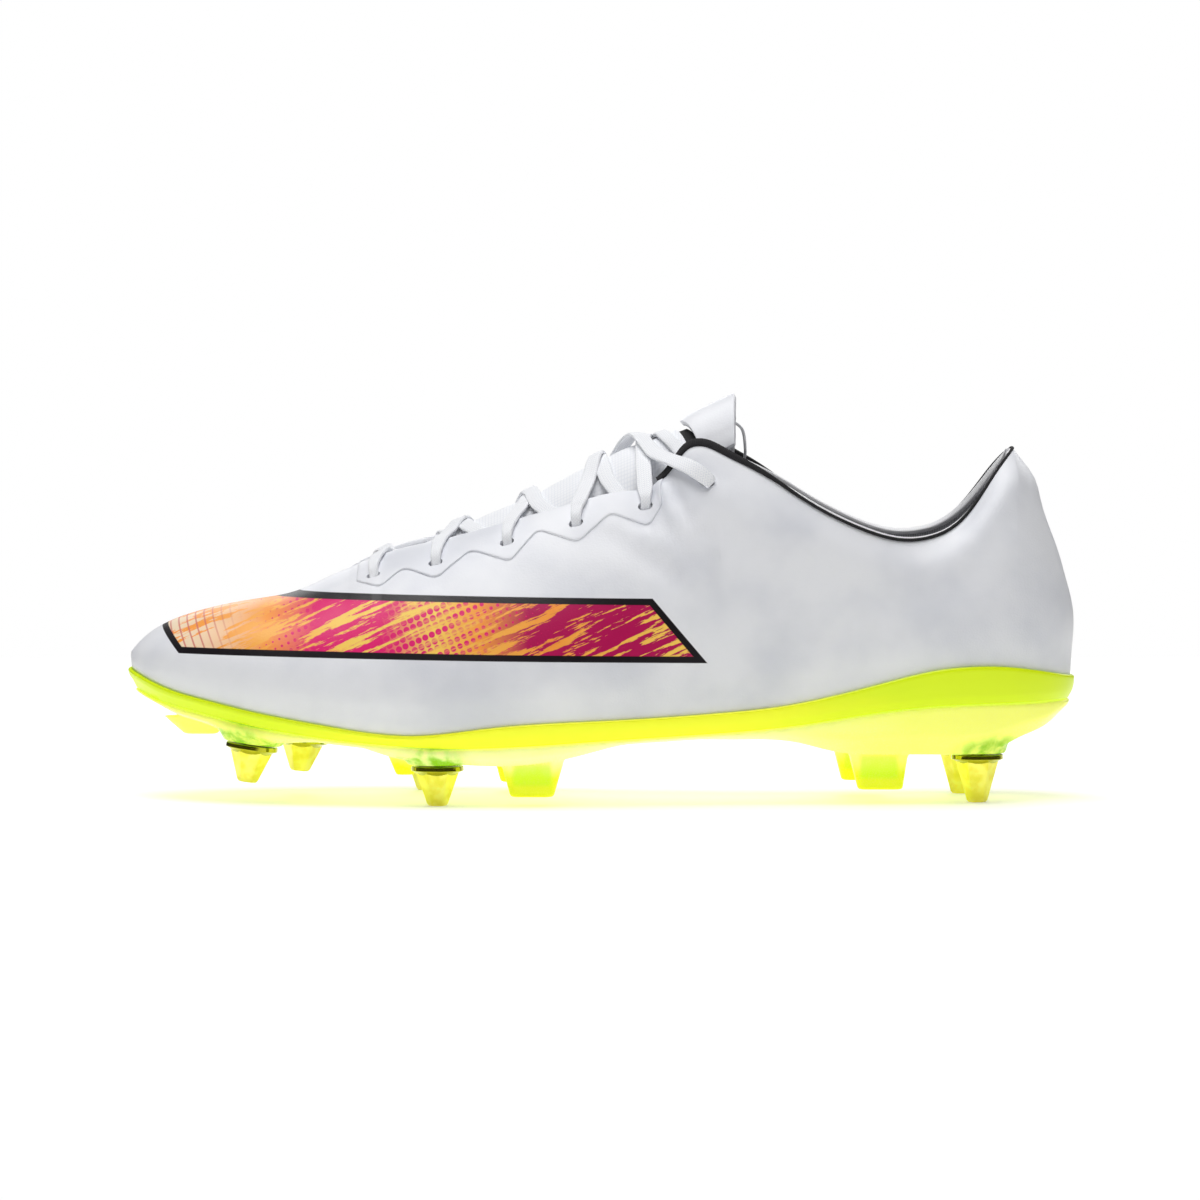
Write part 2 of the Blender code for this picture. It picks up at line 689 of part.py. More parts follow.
def move_to(obj, x, y, z, tilt=0.0):
    """Stand a piece at a point and tip it about Y, in degrees."""
    obj.rotation_euler = (0, math.radians(tilt), 0)
    obj.location = Vector((x, y, z)) * MM


def blade_solid(blade, inset, look, rise=0.0):
    """A tapered, round-cornered block from its root inside the plate down to its tip."""
    _, root_x, tip_x, y, root_half, tip_half, tip_z = blade
    middle = sum(root_x) / 2
    top = min(parting_z(root_x[0]), parting_z(middle), parting_z(root_x[1])) - GAP - 0.5
    low = tip_z + inset * CORE_TIP_INSET / CORE_INSET
    mesh = bpy.data.meshes.new("blade_tool")
    work = bmesh.new()
    bmesh.ops.create_cube(work, size=1)
    for vert in work.verts:
        at_tip = vert.co.z < 0
        span, half = (tip_x, tip_half) if at_tip else (root_x, root_half)
        end = 0 if vert.co.x < 0 else 1
        x = span[end] + (inset if end == 0 else -inset)
        vert.co = Vector((x, y + (half - inset) * math.copysign(1, vert.co.y), low if at_tip else top))
    upright = [e for e in work.edges if abs(e.verts[0].co.z - e.verts[1].co.z) > 1]
    for edge in upright:
        high, tip = sorted(edge.verts, key=lambda v: -v.co.z)
        high.co += (high.co - tip.co) * (rise / (high.co.z - tip.co.z))
    for vert in work.verts:
        vert.co *= MM
    round_off = min(2.2, tip_half - inset - 0.3)
    bmesh.ops.bevel(work, geom=upright, offset=round_off * MM, segments=2, affect="EDGES", profile=0.5)
    work.to_mesh(mesh)
    work.free()
    return finish_object("blade_tool", mesh, look, helper=True)


def make_cores(looks):
    for blade in BLADES:
        if blade[0]:
            core = blade_solid(blade, CORE_INSET + GAP, looks["volt"])
            core.name = "blade_core_" + blade[0]
            bpy.data.collections["cutters"].objects.unlink(core)
            bpy.data.collections["soccer_cleat"].objects.link(core)
            core.hide_render = False
            core.display_type = "TEXTURED"


def stud_points(length):
    """Rings of a round flange over a cone cut by six wrench flats."""
    above_tip = (length - STUD_TIP_ROUND, STUD_TIP_RADIUS + 0.5, STUD_TIP_FLAT + 0.4)
    rings = FLANGE_RINGS + (CONE_TOP, above_tip, (length, STUD_TIP_RADIUS, STUD_TIP_FLAT))
    sixth = math.pi / 3
    points = []
    for depth, radius, flat in rings:
        for i in range(STUD_SIDES):
            turn = 2 * math.pi * i / STUD_SIDES
            reach = min(radius, flat / math.cos(turn % sixth - sixth / 2))
            points.append((reach * math.cos(turn), reach * math.sin(turn), -depth))
    faces = [tuple(range(STUD_SIDES)), tuple(range(len(points) - 1, len(points) - STUD_SIDES - 1, -1))]
    for ring in range(len(rings) - 1):
        for i in range(STUD_SIDES):
            k = (i + 1) % STUD_SIDES
            a, b = ring * STUD_SIDES, (ring + 1) * STUD_SIDES
            faces.append((a + i, b + i, b + k, a + k))
    return points, faces


def make_studs(looks):
    """Six screw-in studs, each with its steel pin, and the threaded inserts that hold them."""
    for name, x, y, seat, length, tilt in STUDS:
        points, faces = stud_points(length)
        stud = add_object("stud_" + name, points, faces, looks["gold"])
        bore = cylinder("bore", 0, 0, -PIN_SINK, 1, PIN_RADIUS + GAP, looks["gold"], 16, helper=True)
        cut(stud, bore, "DIFFERENCE")
        down = Matrix.Rotation(math.radians(tilt), 4, "Y") @ Vector((0, 0, -GAP))
        move_to(stud, x + down.x, y, seat + down.z, tilt)
        bore_radius = PIN_RADIUS + GAP
        profile = [(bore_radius, PIN_GRIP), (INSERT_RADIUS, PIN_GRIP), (INSERT_RADIUS, INSERT_FLANGE_THICK)]
        profile += [(INSERT_FLANGE_RADIUS, INSERT_FLANGE_THICK), (INSERT_FLANGE_RADIUS, 0), (bore_radius, 0)]
        insert = lathe("stud_insert_" + name, profile, looks["steel"], 14)
        move_to(insert, x, y, seat, tilt)
        low, high = GAP - PIN_SINK, PIN_GRIP - GAP
        pin = cylinder("stud_pin_" + name, 0, 0, 0, high - low, PIN_RADIUS, looks["steel"], 14)
        raised = Matrix.Rotation(math.radians(tilt), 4, "Y") @ Vector((0, 0, (low + high) / 2))
        move_to(pin, x + raised.x, y, seat + raised.z, tilt)


# ---------------------------------------------------------------- tongue


def tongue_point(x, y, lift=0.0, ridge=None):
    """A point on the tongue's outer face, raised by lift along its normal."""
    top = (ridge or tongue_ridge_z)(x)
    low = widest_z(x)
    wide = (side_width(x, LATERAL) + side_width(x, MEDIAL)) / 2 - tongue_inset(x)
    power = dome_power(x)

    def height(across):
        return low + (top - low) * max(1 - (abs(across) / wide) ** power, 0) ** (1 / power)

    slope = (height(y + 0.2) - height(y - 0.2)) / 0.4
    rise = ((ridge or tongue_ridge_z)(x + 0.5) - (ridge or tongue_ridge_z)(x - 0.5)) * height(y) / top
    normal = np.array((-rise, -slope, 1.0))
    normal /= np.linalg.norm(normal)
    return np.array((x, ridge_line(x) + y, height(y))) + normal * lift


def flap_front(y):
    """x of the flap's front edge, which runs back towards its sides."""
    return FLAP_X + 0.5 * (math.sqrt(y * y + 4) - 2)


def tongue_sheet(name, rows, half, across, look, lift=0.0, ridge=None):
    """A sheet over the tongue's form. A row is a function of the share across, -1 to 1, that gives x."""
    points = []
    for row in rows:
        for t in np.linspace(-1, 1, across):
            points.append(tongue_point(row(t), t * half(row(t)), lift, ridge))
    faces = []
    for i in range(len(rows) - 1):
        for j in range(across - 1):
            a, b = i * across + j, (i + 1) * across + j
            faces.append((a, b, b + 1, a + 1))
    return add_object(name, points, faces, look)


def tongue_back(y):
    """x of the tongue's top end, which leaves a gap to the flap that grows towards its sides."""
    return FLAP_X - 0.4 + 0.38 * (math.sqrt(y * y + 4) - 2)


def straight(x):
    """A row square across the tongue."""
    return lambda share: x


def rows_between(first, last, count):
    """Rows from one edge to another, each edge a function of the share across."""
    return [lambda t, s=s: first(t) + (last(t) - first(t)) * s for s in np.linspace(0, 1, count)]


def make_tongue(looks):
    """The tongue and its lining, and the flap that is hinged to its top end."""

    def tongue_end(share):
        return tongue_back(share * tongue_half(FLAP_X))

    def flap_start(share):
        return flap_front(share * FLAP_HALF)

    def lining_half(x):
        return tongue_half(x) - 3

    rows = rows_between(straight(TONGUE_X), tongue_end, 17)
    tongue = tongue_sheet("tongue", rows, tongue_half, 9, looks["white"])
    thicken(tongue, TONGUE_THICK)
    rows = rows_between(straight(TONGUE_LINING_X), straight(TONGUE_LINING_END_X), 12)
    depth = TONGUE_THICK + 0.7
    lining = tongue_sheet("tongue_lining", rows, lining_half, 7, looks["lining"], -depth)
    thicken(lining, LINING_THICK)
    rows = rows_between(flap_start, straight(FLAP_END_X), 6)
    flap = tongue_sheet("tongue_flap", rows, lambda x: FLAP_HALF, 9, looks["white"], ridge=flap_ridge_z)
    thicken(flap, FLAP_THICK)
    apply_modifiers(flap)
    hinge = Vector((FLAP_X, ridge_line(FLAP_X), flap_ridge_z(FLAP_X) - FLAP_THICK)) * MM
    flap.data.transform(Matrix.Translation(-hinge))
    flap.location = hinge


# ---------------------------------------------------------------- lace and collar


def over(x, side, z, lift):
    """A point above (or, with a negative lift, below) the upper's outer face."""
    point, normal, _ = skin_frame(x, side, q_at(x, side, z))
    return point + normal * lift


def out_of_eyelet(x, side, z):
    yield over(x - 0.4, side, z - 1.2, -3.3)
    yield over(x, side, z - 0.2, -0.8)
    yield over(x + 0.4, side, z + 1.4, 2.7)


def strand(x0, side, x1, height):
    """One crossing, from under an eyelet on one side to under the opposite edge."""
    z0 = eyelet_z(x0)
    reach = x1 - x0
    yield from out_of_eyelet(x0, side, z0)
    yield over(x0 + 0.08 * reach, side, edge_z(x0, side) - 0.8, 3.6)
    x = x0 + 0.28 * reach
    point = tongue_point(x, side * edge_half(x) * 0.5, max((height + 3.4) / 2, 3.2))
    point[2] = max(point[2], edge_z(x, side) + 1.4)
    yield point
    x = x0 + 0.5 * reach
    yield tongue_point(x, 0, height)
    x = x0 + 0.7 * reach
    yield tongue_point(x, -side * edge_half(x) * 0.55, 1.8)
    yield over(x1 - 0.5, -side, edge_z(x1, -side) - 0.8, -3.1)
    yield over(x1 + 2.0, -side, edge_z(x1, -side) - 4.2, -3.3)


def eyelet_z(x):
    return float(np.interp(x, [a for a, _ in EYELETS], [b for _, b in EYELETS]))


def laced_half(side, height):
    """Half the lace, from the middle of the first bar up to its fifth eyelet."""
    first = EYELETS[0][0]
    yield tongue_point(first, side * 3.0, 2.2)
    yield tongue_point(first, side * 10.0, 1.8)
    xs = [x for x, _ in EYELETS]
    for here, there in zip(xs[:4], xs[1:5]):
        yield from strand(here, side, there - 6.6, height)
        side = -side
    x = xs[4]
    yield from out_of_eyelet(x, side, eyelet_z(x))
    yield over(x + 0.2, side, edge_z(x, side) - 0.6, 3.6)


def end_into_top_eyelet(side):
    """From the fifth eyelet across the tongue, over the far collar, into the top eyelet and down inside."""
    yield tongue_point(13.4, side * 10.0, 3.6)
    yield tongue_point(13.8, 0, 1.8)
    side = -side
    yield tongue_point(18.4, side * 10.0, 2.4)
    yield over(22.6, side, edge_z(22.6, side), 0.6) + (0, 0, 4.0)
    yield over(26.0, side, 99.8, 3.2)
    yield over(29.4, side, 97.0, 2.8)
    yield over(31.4, side, 95.0, 0.0)
    yield over(31.8, side, 93.2, -3.1)
    for x, y, z in TAIL:
        yield np.array((x, ridge_line(x) + side * y, z))


def end_out_of_top_eyelet(side):
    """From the fifth eyelet under the far collar, out of the top eyelet, back over and tucked in."""
    yield tongue_point(15.2, side * 11.0, 4.8)
    yield tongue_point(18.8, 0, 2.0)
    side = -side
    yield tongue_point(21.0, side * 5.0, 2.0)
    yield tongue_point(24.2, side * 10.4, 2.0)
    yield over(27.6, side, 99.0, -3.6)
    yield over(31.6, side, 93.8, -3.3)
    yield over(31.4, side, 94.9, -0.8)
    yield over(30.4, side, 96.0, 2.7)
    yield over(27.0, side, 98.2, 3.4)
    yield over(22.6, side, edge_z(22.6, side), 1.6) + (0, 0, 3.4)
    yield tongue_point(17.2, side * 10.6, 5.4)
    yield tongue_point(11.0, 0, 4.6)
    side = -side
    yield tongue_point(5.2, side * 9.0, 4.6)
    yield tongue_point(2.0, side * 14.0, 2.2)
    yield over(0.0, side, edge_z(0.0, side) - 1.2, -3.1)
    for x, z, lift in ((0.6, 83.5, -3.4), (1.4, 79, -3.7), (4.4, 59, -3.6)):
        yield over(x, side, z, lift)


def make_lace(looks):
    right = list(laced_half(MEDIAL, HIGH_STRAND)) + list(end_out_of_top_eyelet(MEDIAL))
    left = list(laced_half(LATERAL, LOW_STRAND)) + list(end_into_top_eyelet(LATERAL))
    tube("lace", left[::-1] + right, LACE_RADIUS, looks["white_lace"])
    for name, line in (("aglet_a", left), ("aglet_b", right)):
        before, end = Vector(line[-2]), Vector(line[-1])
        way = (end - before).normalized()
        bore, outside = LACE_RADIUS + GAP, LACE_RADIUS + GAP + AGLET_WALL
        profile = [(bore, 0.6), (outside, 0.6), (outside, -AGLET_LENGTH), (bore, -AGLET_LENGTH)]
        aglet = lathe(name, profile, looks["aglet"], 12)
        turn = Vector((0, 0, 1)).rotation_difference(way)
        aglet.rotation_euler = turn.to_euler()
        aglet.location = end * MM


def make_binding(looks):
    """The folded band round the collar's edge."""
    xs = [x for x in ALL_STATIONS if BINDING_X < x < HEEL_TOP_X]
    path = [over(x, LATERAL, edge_z(x, LATERAL), 0) for x in xs]
    path += [over(HEEL_TOP_X, LATERAL, HEEL_TOP_Z, 0)]
    path += [over(x, MEDIAL, edge_z(x, MEDIAL), 0) for x in xs[::-1]]
    lifted = []
    for i, point in enumerate(path):
        along = path[min(i + 1, len(path) - 1)] - path[max(i - 1, 0)]
        out = np.array((point[0] - COLLAR_MIDDLE_X, point[1], 0.0))
        across = np.cross(along, np.cross((0, 0, 1.0), along))
        lift = across / np.linalg.norm(across) * BINDING_LIFT
        lifted.append(point + lift - out / np.linalg.norm(out) * BINDING_INSET)
    tube("collar_binding", lifted, BINDING_RADIUS, looks["black"], resolution=1)


def main():
    for obj in list(bpy.data.objects):
        bpy.data.objects.remove(obj)
    for name in ("soccer_cleat", "cutters"):
        bpy.context.scene.collection.children.link(bpy.data.collections.new(name))
    looks = {
        "white": material("white_synthetic", WHITE, 0.42),
        "white_lace": material("white_polyester", WHITE, 0.75),
        "aglet": material("aglet_film", WHITE, 0.3),
        "volt": material("volt_outsole", VOLT, 0.35),
        "clear_volt": material("clear_volt_plastic", CLEAR_VOLT, 0.25),
        "gold": material("gold_anodised", GOLD, 0.3, 1.0),
        "steel": material("steel", STEEL, 0.35, 1.0),
        "black": material("black_binding", BLACK, 0.6),
        "board": material("fibre_board", (0.6, 0.52, 0.4, 1), 0.8),
        "foam": material("foam", (0.5, 0.5, 0.52, 1), 0.9),
        "lining": material("grey_lining", GREY, 0.85),
    }
    make_upper(looks)
    for side in (LATERAL, MEDIAL):
        make_eyestay(side, looks)
    make_linings(looks)
    make_cup(looks)
    make_traction_plate(looks)
    make_cores(looks)
    make_studs(looks)
    slab("insole_board", BOARD_INSET, BOARD_LOW, BOARD_TOP, looks["board"])
    slab("sockliner", SOCKLINER_INSET, SOCKLINER_LOW, SOCKLINER_TOP, looks["lining"])
    make_tongue(looks)
    make_lace(looks)
    make_binding(looks)


main()
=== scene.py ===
"""The looks of a soft-ground soccer cleat, a left boot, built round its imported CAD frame.

Row frame: +X to the heel, -X to the toe, -Y to the outer (lateral) side, +Z up, z = 0 on the ground.
Design numbers are in millimetres, as in the CAD. MM turns them into metres when a mesh is made.
"""

import functools
import math

import bmesh
import bpy
import numpy as np
from mathutils import Matrix, Vector


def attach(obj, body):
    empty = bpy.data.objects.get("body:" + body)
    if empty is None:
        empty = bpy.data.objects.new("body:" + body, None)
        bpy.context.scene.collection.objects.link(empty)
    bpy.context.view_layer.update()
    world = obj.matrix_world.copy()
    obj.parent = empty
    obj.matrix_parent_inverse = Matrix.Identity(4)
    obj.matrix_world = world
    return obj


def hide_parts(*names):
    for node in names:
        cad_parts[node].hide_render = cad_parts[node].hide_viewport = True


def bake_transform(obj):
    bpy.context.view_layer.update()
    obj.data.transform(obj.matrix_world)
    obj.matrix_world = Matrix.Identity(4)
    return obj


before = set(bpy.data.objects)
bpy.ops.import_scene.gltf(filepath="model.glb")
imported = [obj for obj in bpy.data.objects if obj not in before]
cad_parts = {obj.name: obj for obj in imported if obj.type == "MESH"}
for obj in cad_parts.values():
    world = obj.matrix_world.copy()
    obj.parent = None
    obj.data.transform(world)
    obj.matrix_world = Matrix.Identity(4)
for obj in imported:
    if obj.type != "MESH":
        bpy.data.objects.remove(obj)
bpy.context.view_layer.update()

MM = 0.001
LATERAL, MEDIAL = -1, 1
SIDES = (LATERAL, MEDIAL)

# The boot's own driving dimensions, the same as in the CAD
TOE_X = -141.0
HEEL_X = 141.6
VAMP_END_X = -80.0
THROAT_X = -74.5
HEEL_TOP_X = 123.2
HEEL_TOP_Z = 104.7
CUP_FLOOR = 2.2
CUP_WALL = 1.0
GAP = 0.3
TOE_ROUND, HEEL_ROUND, OPENING_ROUND = 70.0, 42.0, 22.0
TUCK = 0.07
TUCK_ENDS = 1.6
SOCKLINER_LOW = 4.3
SOCKLINER_TOP = 7.8
FLAP_X = 23.6
FLAP_END_X = 39.8
FLAP_HALF = 15.0
SEAT_RADIUS = 8.4
CORE_INSET = 1.9
PLATE_VOXEL = 0.62
# Radii of a stud's bore, and of the pocket for its flange and its insert
BORE_RADIUS, POCKET_RADIUS, INSERT_RADIUS = 2.7, 6.6, 5.0
# A stud's (depth, radius) lines: its flange; its cone's flats and corners start at CONE_TOP
FLANGE = ((0, 7.45), (0.2, 7.65), (1.25, 7.72), (1.4, 7.6), (1.75, 6.75), (2.6, 5.3))
CONE_TOP, CONE_CHAMFER, FLANGE_END = 1.4, 0.6, 2.7
CONE_FLAT, CONE_CORNER = (5.6, 2.75, 2.35), (6.45, 3.1, 2.6)

# Soft pieces
UPPER_THICK = 1.2
EYESTAY_LOW = -0.3
EYESTAY_HIGH = 0.55
LACE_WIDTH = 4.7
LACE_THICK = 1.25
TIP_LENGTH = 15.0
TONGUE_THICK, FLAP_THICK = 1.9, 2.0
COLLAR_LINING_THICK, TONGUE_LINING_THICK = 0.8, 0.7
HINGE_HALF, HINGE_THICK = 12.4, 0.8
BINDING_WIDTH, BINDING_THICK = 2.5, 1.0
ROLL_WIDTH, ROLL_THICK = 2.4, 1.6
# Where the binding, the lining and the knitted roll start along the collar
WING_X, LINING_X, ROLL_X = 17.0, 38, 44.0
EYELET_LENGTH, EYELET_HEIGHT, EYELET_DEPTH = 4.4, 2.9, 4.0
# How high the two ends' strands ride over the tongue
HIGH_STRAND, LOW_STRAND = 2.0, 0.8
# How far the lace is spread, as scales of its width and thickness
SPREAD, HALF_SPREAD, BUNCHED = (1.0, 1.0), (0.8, 1.1), (0.62, 1.3)

EYELETS = ((-66.9, 66.9), (-48.4, 70.8), (-27.3, 76.9), (-7.0, 82.6), (13.4, 87.6), (31.4, 95.0))
ZIGZAG = (
    (-72, 65.3), (-65, 63.9), (-58, 69.4), (-48.2, 66.7), (-38, 74.7), (-26.3, 71.8), (-18.3, 80.7),
    (-6.5, 77.4), (3.2, 85.8), (14.3, 81.9), (18.8, 88.6),
)
TAIL = (
    (35, 22, 86), (40, 23.5, 76), (41, 25, 66), (35, 27, 58), (18, 29.5, 53), (-6, 32, 51), (-22, 33, 51)
)
# The printed band: ends, half height, border, level and fall per mm, slant of the ends, pitch of the dots
BAND_FIRST, BAND_LAST, BAND_HALF = -129.5, 20.0, 7.4
BAND_BORDER = 1.9
BAND_LEVEL, BAND_FALL, BAND_SLANT = 52.6, -0.012, 0.85
DOT_PITCH = 2.1
# Screw-in studs: name, x, y, height of the seat, length, tilt in degrees
STUDS = (
    ("front_lateral", -103.0, -17.0, 17.3, 11.2, 8),
    ("front_medial", -90.5, 29.0, 16.6, 10.2, 6),
    ("mid_lateral", -47.7, -33.0, 12.0, 11.7, 0),
    ("mid_medial", -53.0, 33.0, 12.0, 11.7, 0),
    ("heel_lateral", 111.7, -18.0, 14.5, 14.2, 0),
    ("heel_medial", 109.4, 19.0, 14.5, 14.2, 0),
)
# Moulded blades: core name, x span at the root, x span at the tip, y, half widths, height of the tip
BLADES = (
    ("mid_lateral", (-30.0, -9.5), (-26.3, -13.6), -33.5, 4.6, 3.4, 2.6),
    ("mid_medial", (-34.0, -13.5), (-30.3, -17.6), 31.0, 4.6, 3.4, 2.6),
    ("heel_lateral", (71.0, 92.5), (76.2, 89.4), -21.0, 4.8, 3.6, 4.0),
    ("heel_medial", (68.0, 89.5), (73.2, 86.4), 19.5, 4.8, 3.6, 4.0),
    ("", (-131.0, -112.0), (-124.8, -114.8), 6.0, 3.6, 2.6, 18.8),
    ("", (-66.0, -54.0), (-61.5, -56.0), 12.0, 3.0, 2.0, 6.0),
)
CORED_BLADES = BLADES[:4]

# ---------------------------------------------------------------- the last


def through(*knots):
    """A twice-smooth curve through (x, value) knots, held level outside them."""
    x, y = (np.array(v, float) for v in zip(*knots))
    count = len(x)
    step = np.diff(x)
    slope = np.diff(y) / step
    matrix, right = np.eye(count), np.zeros(count)
    for i in range(1, count - 1):
        matrix[i, i - 1 : i + 2] = step[i - 1], 2 * (step[i - 1] + step[i]), step[i]
        right[i] = 6 * (slope[i] - slope[i - 1])
    bend = np.linalg.solve(matrix, right)

    @functools.lru_cache(maxsize=None)
    def value(at):
        at = min(max(at, x[0]), x[-1])
        i = min(int(np.searchsorted(x, at, side="right")) - 1, count - 2)
        a, b, h = x[i + 1] - at, at - x[i], step[i]
        cubic = (bend[i] * a**3 + bend[i + 1] * b**3) / (6 * h)
        return float(cubic + (y[i] / h - bend[i] * h / 6) * a + (y[i + 1] / h - bend[i + 1] * h / 6) * b)

    return value


half_width = through((-141, 36), (-90, 42.4), (-45, 47), (0, 40.5), (50, 33.6), (100, 34.5), (141, 33))
centre_line = through((-141, 8.7), (-90, 4.5), (-45, -0.3), (0, -5.3), (45, -5.1), (100, -0.8), (141, -0.5))
ridge_line = through((-141, 8.7), (-90, 5.2), (-45, 2.2), (0, -0.8), (50, -2.3), (100, -0.8), (141, -0.5))
parting_z = through(
    (-142.5, 33.8), (-139.2, 33), (-135.5, 31.4), (-129.8, 29.3), (-122, 27.4), (-102, 23), (-88, 20.8),
    (-74.6, 19.2), (-60, 18), (-48, 17.4), (-30, 17.6), (0, 19.4), (30, 21.2), (50, 22.7), (66, 24.8),
    (81, 27.2), (102, 29.3), (122, 29.8), (141.6, 30.3),
)
cup_top_z = through(
    (-141, 38.6), (-129, 33.4), (-117, 30.4), (-105, 27.8), (-81, 23.7), (-54, 21.0), (-33, 23.2),
    (3, 25.4), (39, 27.6), (51, 28.8), (63, 30.9), (87, 36.8), (99, 39.5), (108, 40.4), (117, 40.4),
    (129, 39), (141.6, 36.6),
)
widest_z = through(
    (-141, 41), (-130, 40), (-100, 36), (-60, 33), (-20, 36), (20, 40), (60, 44), (100, 50), (141.6, 53)
)
vamp_ridge_z = through(
    (-141, 43.5), (-138.5, 46.4), (-131, 51.9), (-122, 55.4), (-102, 59.6), (-91, 61.9), (-80, 66.8),
    (-68, 71.5),
)
heel_back_z = through(
    (0, 54), (0.9, 61), (1.52, 67), (2.14, 74), (2.9, 84), (3.51, 93.9), (4.29, HEEL_TOP_Z)
)
opening_z = through(
    (THROAT_X, 69.1), (-60, 74.5), (-48, 77.3), (-27, 83), (-7, 88.8), (8, 92.2), (17, 94.2),
    (21.4, 98.9), (24.8, 103.5), (28.4, 105.3), (32, 104.9), (36.6, 102.8), (48.1, 97.2), (62.3, 88.3),
    (76.5, 81.3), (83.6, 78.9), (90.7, 77.9), (97.8, 78.9), (104.9, 82.4), (112, 90), (119.1, 99.7),
    (HEEL_TOP_X, HEEL_TOP_Z),
)
opening_half = through(
    (THROAT_X, 10), (-60, 11), (-42, 13.5), (-20, 17), (7, 20.5), (28, 22), (50, 27), (65, 29.5), (85, 29),
    (100, 24), (112, 19.5), (HEEL_TOP_X, 19.5),
)
dome_power = through(
    (-141, 2.3), (-100, 2.1), (-70, 1.8), (-40, 1.75), (10, 1.75), (50, 1.9), (100, 1.85), (141.6, 1.85)
)
tongue_ridge_z = through(
    (-90, 55), (-75, 61), (-62, 69.5), (-52, 76.3), (-41, 81.6), (-30, 86.2), (-20, 90.6), (-10, 95.8),
    (0, 101), (10, 105.4), (20, 109), (41, 117.8),
)
plate_bottom_z = through(
    (-137, 31.5), (-131, 28), (-124, 25), (-116, 23), (-108, 19.6), (-95, 18), (-84, 18.6), (-72, 17.8),
    (-62, 14.8), (-50, 12.9), (-38, 12.3), (-28, 12), (-8, 14.5), (6, 18), (40, 19.4), (58, 18.4), (68, 15.9),
    (80, 14.8), (100, 14.7), (112, 15), (118, 16.6), (124, 19.4), (133, 23), (138, 26.5), (141.6, 28.8),
)
flap_ridge_z = through((FLAP_X, 112.6), (26, 114.4), (33, 118), (FLAP_END_X, 121.3))
tongue_inset = through(
    (-90, 5), (-75, 6.5), (-62, 10), (-52, 13.5), (-42, 16.5), (-30, 16.5), (-20, 15), (0, 12.5), (20, 9),
    (41, 6.8),
)
tongue_half = through((-86, 14), (-60, 18), (-20, 22.5), (20, 22.5), (41, 19.5))


def round_end(distance, length, power=2.0):
    """0 at an end of an outline and 1 from length on, with a round nose."""
    left = max(0.0, 1 - max(distance, 0.0) / length)
    return (1 - left**power) ** (1 / power)


def is_open(x):
    return THROAT_X < x < HEEL_TOP_X


@functools.lru_cache(maxsize=None)
def side_width(x, side):
    ends = round_end(x - TOE_X, TOE_ROUND, 2.2) * round_end(HEEL_X - x, HEEL_ROUND)
    offset = (centre_line(x) - ridge_line(x)) * side * ends
    return half_width(x) * ends + offset


def edge_half(x):
    return opening_half(x) * round_end(x - THROAT_X, OPENING_ROUND) * round_end(HEEL_TOP_X - x, OPENING_ROUND)


def edge_z(x, side):
    lift = 1.5 if side == MEDIAL else 0.0
    return opening_z(x) + lift * round_end(x - THROAT_X, 60) * round_end(HEEL_TOP_X - x, 30)


@functools.lru_cache(maxsize=None)
def ridge_z(x, side):
    if x <= THROAT_X:
        if x < VAMP_END_X:
            return vamp_ridge_z(x)
        return float(np.interp(x, (VAMP_END_X, THROAT_X), (vamp_ridge_z(VAMP_END_X), opening_z(THROAT_X))))
    if x >= HEEL_TOP_X:
        return heel_back_z(math.sqrt(max(HEEL_X - x, 0)))
    power = dome_power(x)
    share = (1 - (edge_half(x) / side_width(x, side)) ** power) ** (1 / power)
    low = widest_z(x)
    return low + (edge_z(x, side) - low) / share


@functools.lru_cache(maxsize=None)
def section(x, side):
    """What a station's section depends on: width, bottom, widest level, ridge height and power."""
    return (
        side_width(x, side), parting_z(x) + CUP_FLOOR + GAP, widest_z(x), ridge_z(x, side), 2 / dome_power(x),
        ridge_line(x),
    )


def skin(x, side, q):
    """Point on the upper's outer face: q 0 is the bottom edge, 1 the widest line, 2 the ridge."""
    width, low, wide, top, power, middle = section(x, side)
    if q < 1:
        rest = (1 - q) ** 2
        end = TUCK_ENDS * (x / HEEL_X) ** 3 * rest
        return np.array((x - end, middle + side * width * (1 - TUCK * rest), low + (wide - low) * q))
    angle = (q - 1) * math.pi / 2
    across = max(math.cos(angle), 0) ** power
    return np.array((x, middle + side * width * across, wide + (top - wide) * math.sin(angle) ** power))


def q_at(x, side, z):
    """The q at which the skin is at height z."""
    _, low, wide, top, power, _ = section(x, side)
    if z < wide:
        return max((z - low) / (wide - low), 0)
    share = min((z - wide) / (top - wide), 1)
    return 1 + math.asin(share ** (1 / power)) * 2 / math.pi


def q_edge(x, side):
    return q_at(x, side, edge_z(x, side)) if is_open(x) else 2.0


def skin_frame(x, side, q):
    """Point, outward normal and the direction up the section."""
    along = skin(x + 0.3, side, q) - skin(x - 0.3, side, q)
    upward = skin(x, side, min(q + 0.01, 2)) - skin(x, side, q - 0.01)
    if q > 1.99:
        upward = np.array((0, -side, 0.0))
    upward = unit(upward)
    return skin(x, side, q), unit(side * np.cross(upward, along)), upward


def smooth(value, low=0.0, high=1.0):
    """0 below low, 1 above high, with a soft step between."""
    t = min(max((value - low) / (high - low), 0.0), 1.0)
    return t * t * (3 - 2 * t)


def hump(value, middle, spread):
    return math.exp(-(((value - middle) / spread) ** 2))


def unit(vector):
    return vector / np.linalg.norm(vector)


def run_length(path, power=1):
    """Distance travelled at each point of a path, with each step raised to a power."""
    return np.concatenate([[0], np.cumsum(np.linalg.norm(np.diff(path, axis=0), axis=1) ** power)])


# ---------------------------------------------------------------- grids


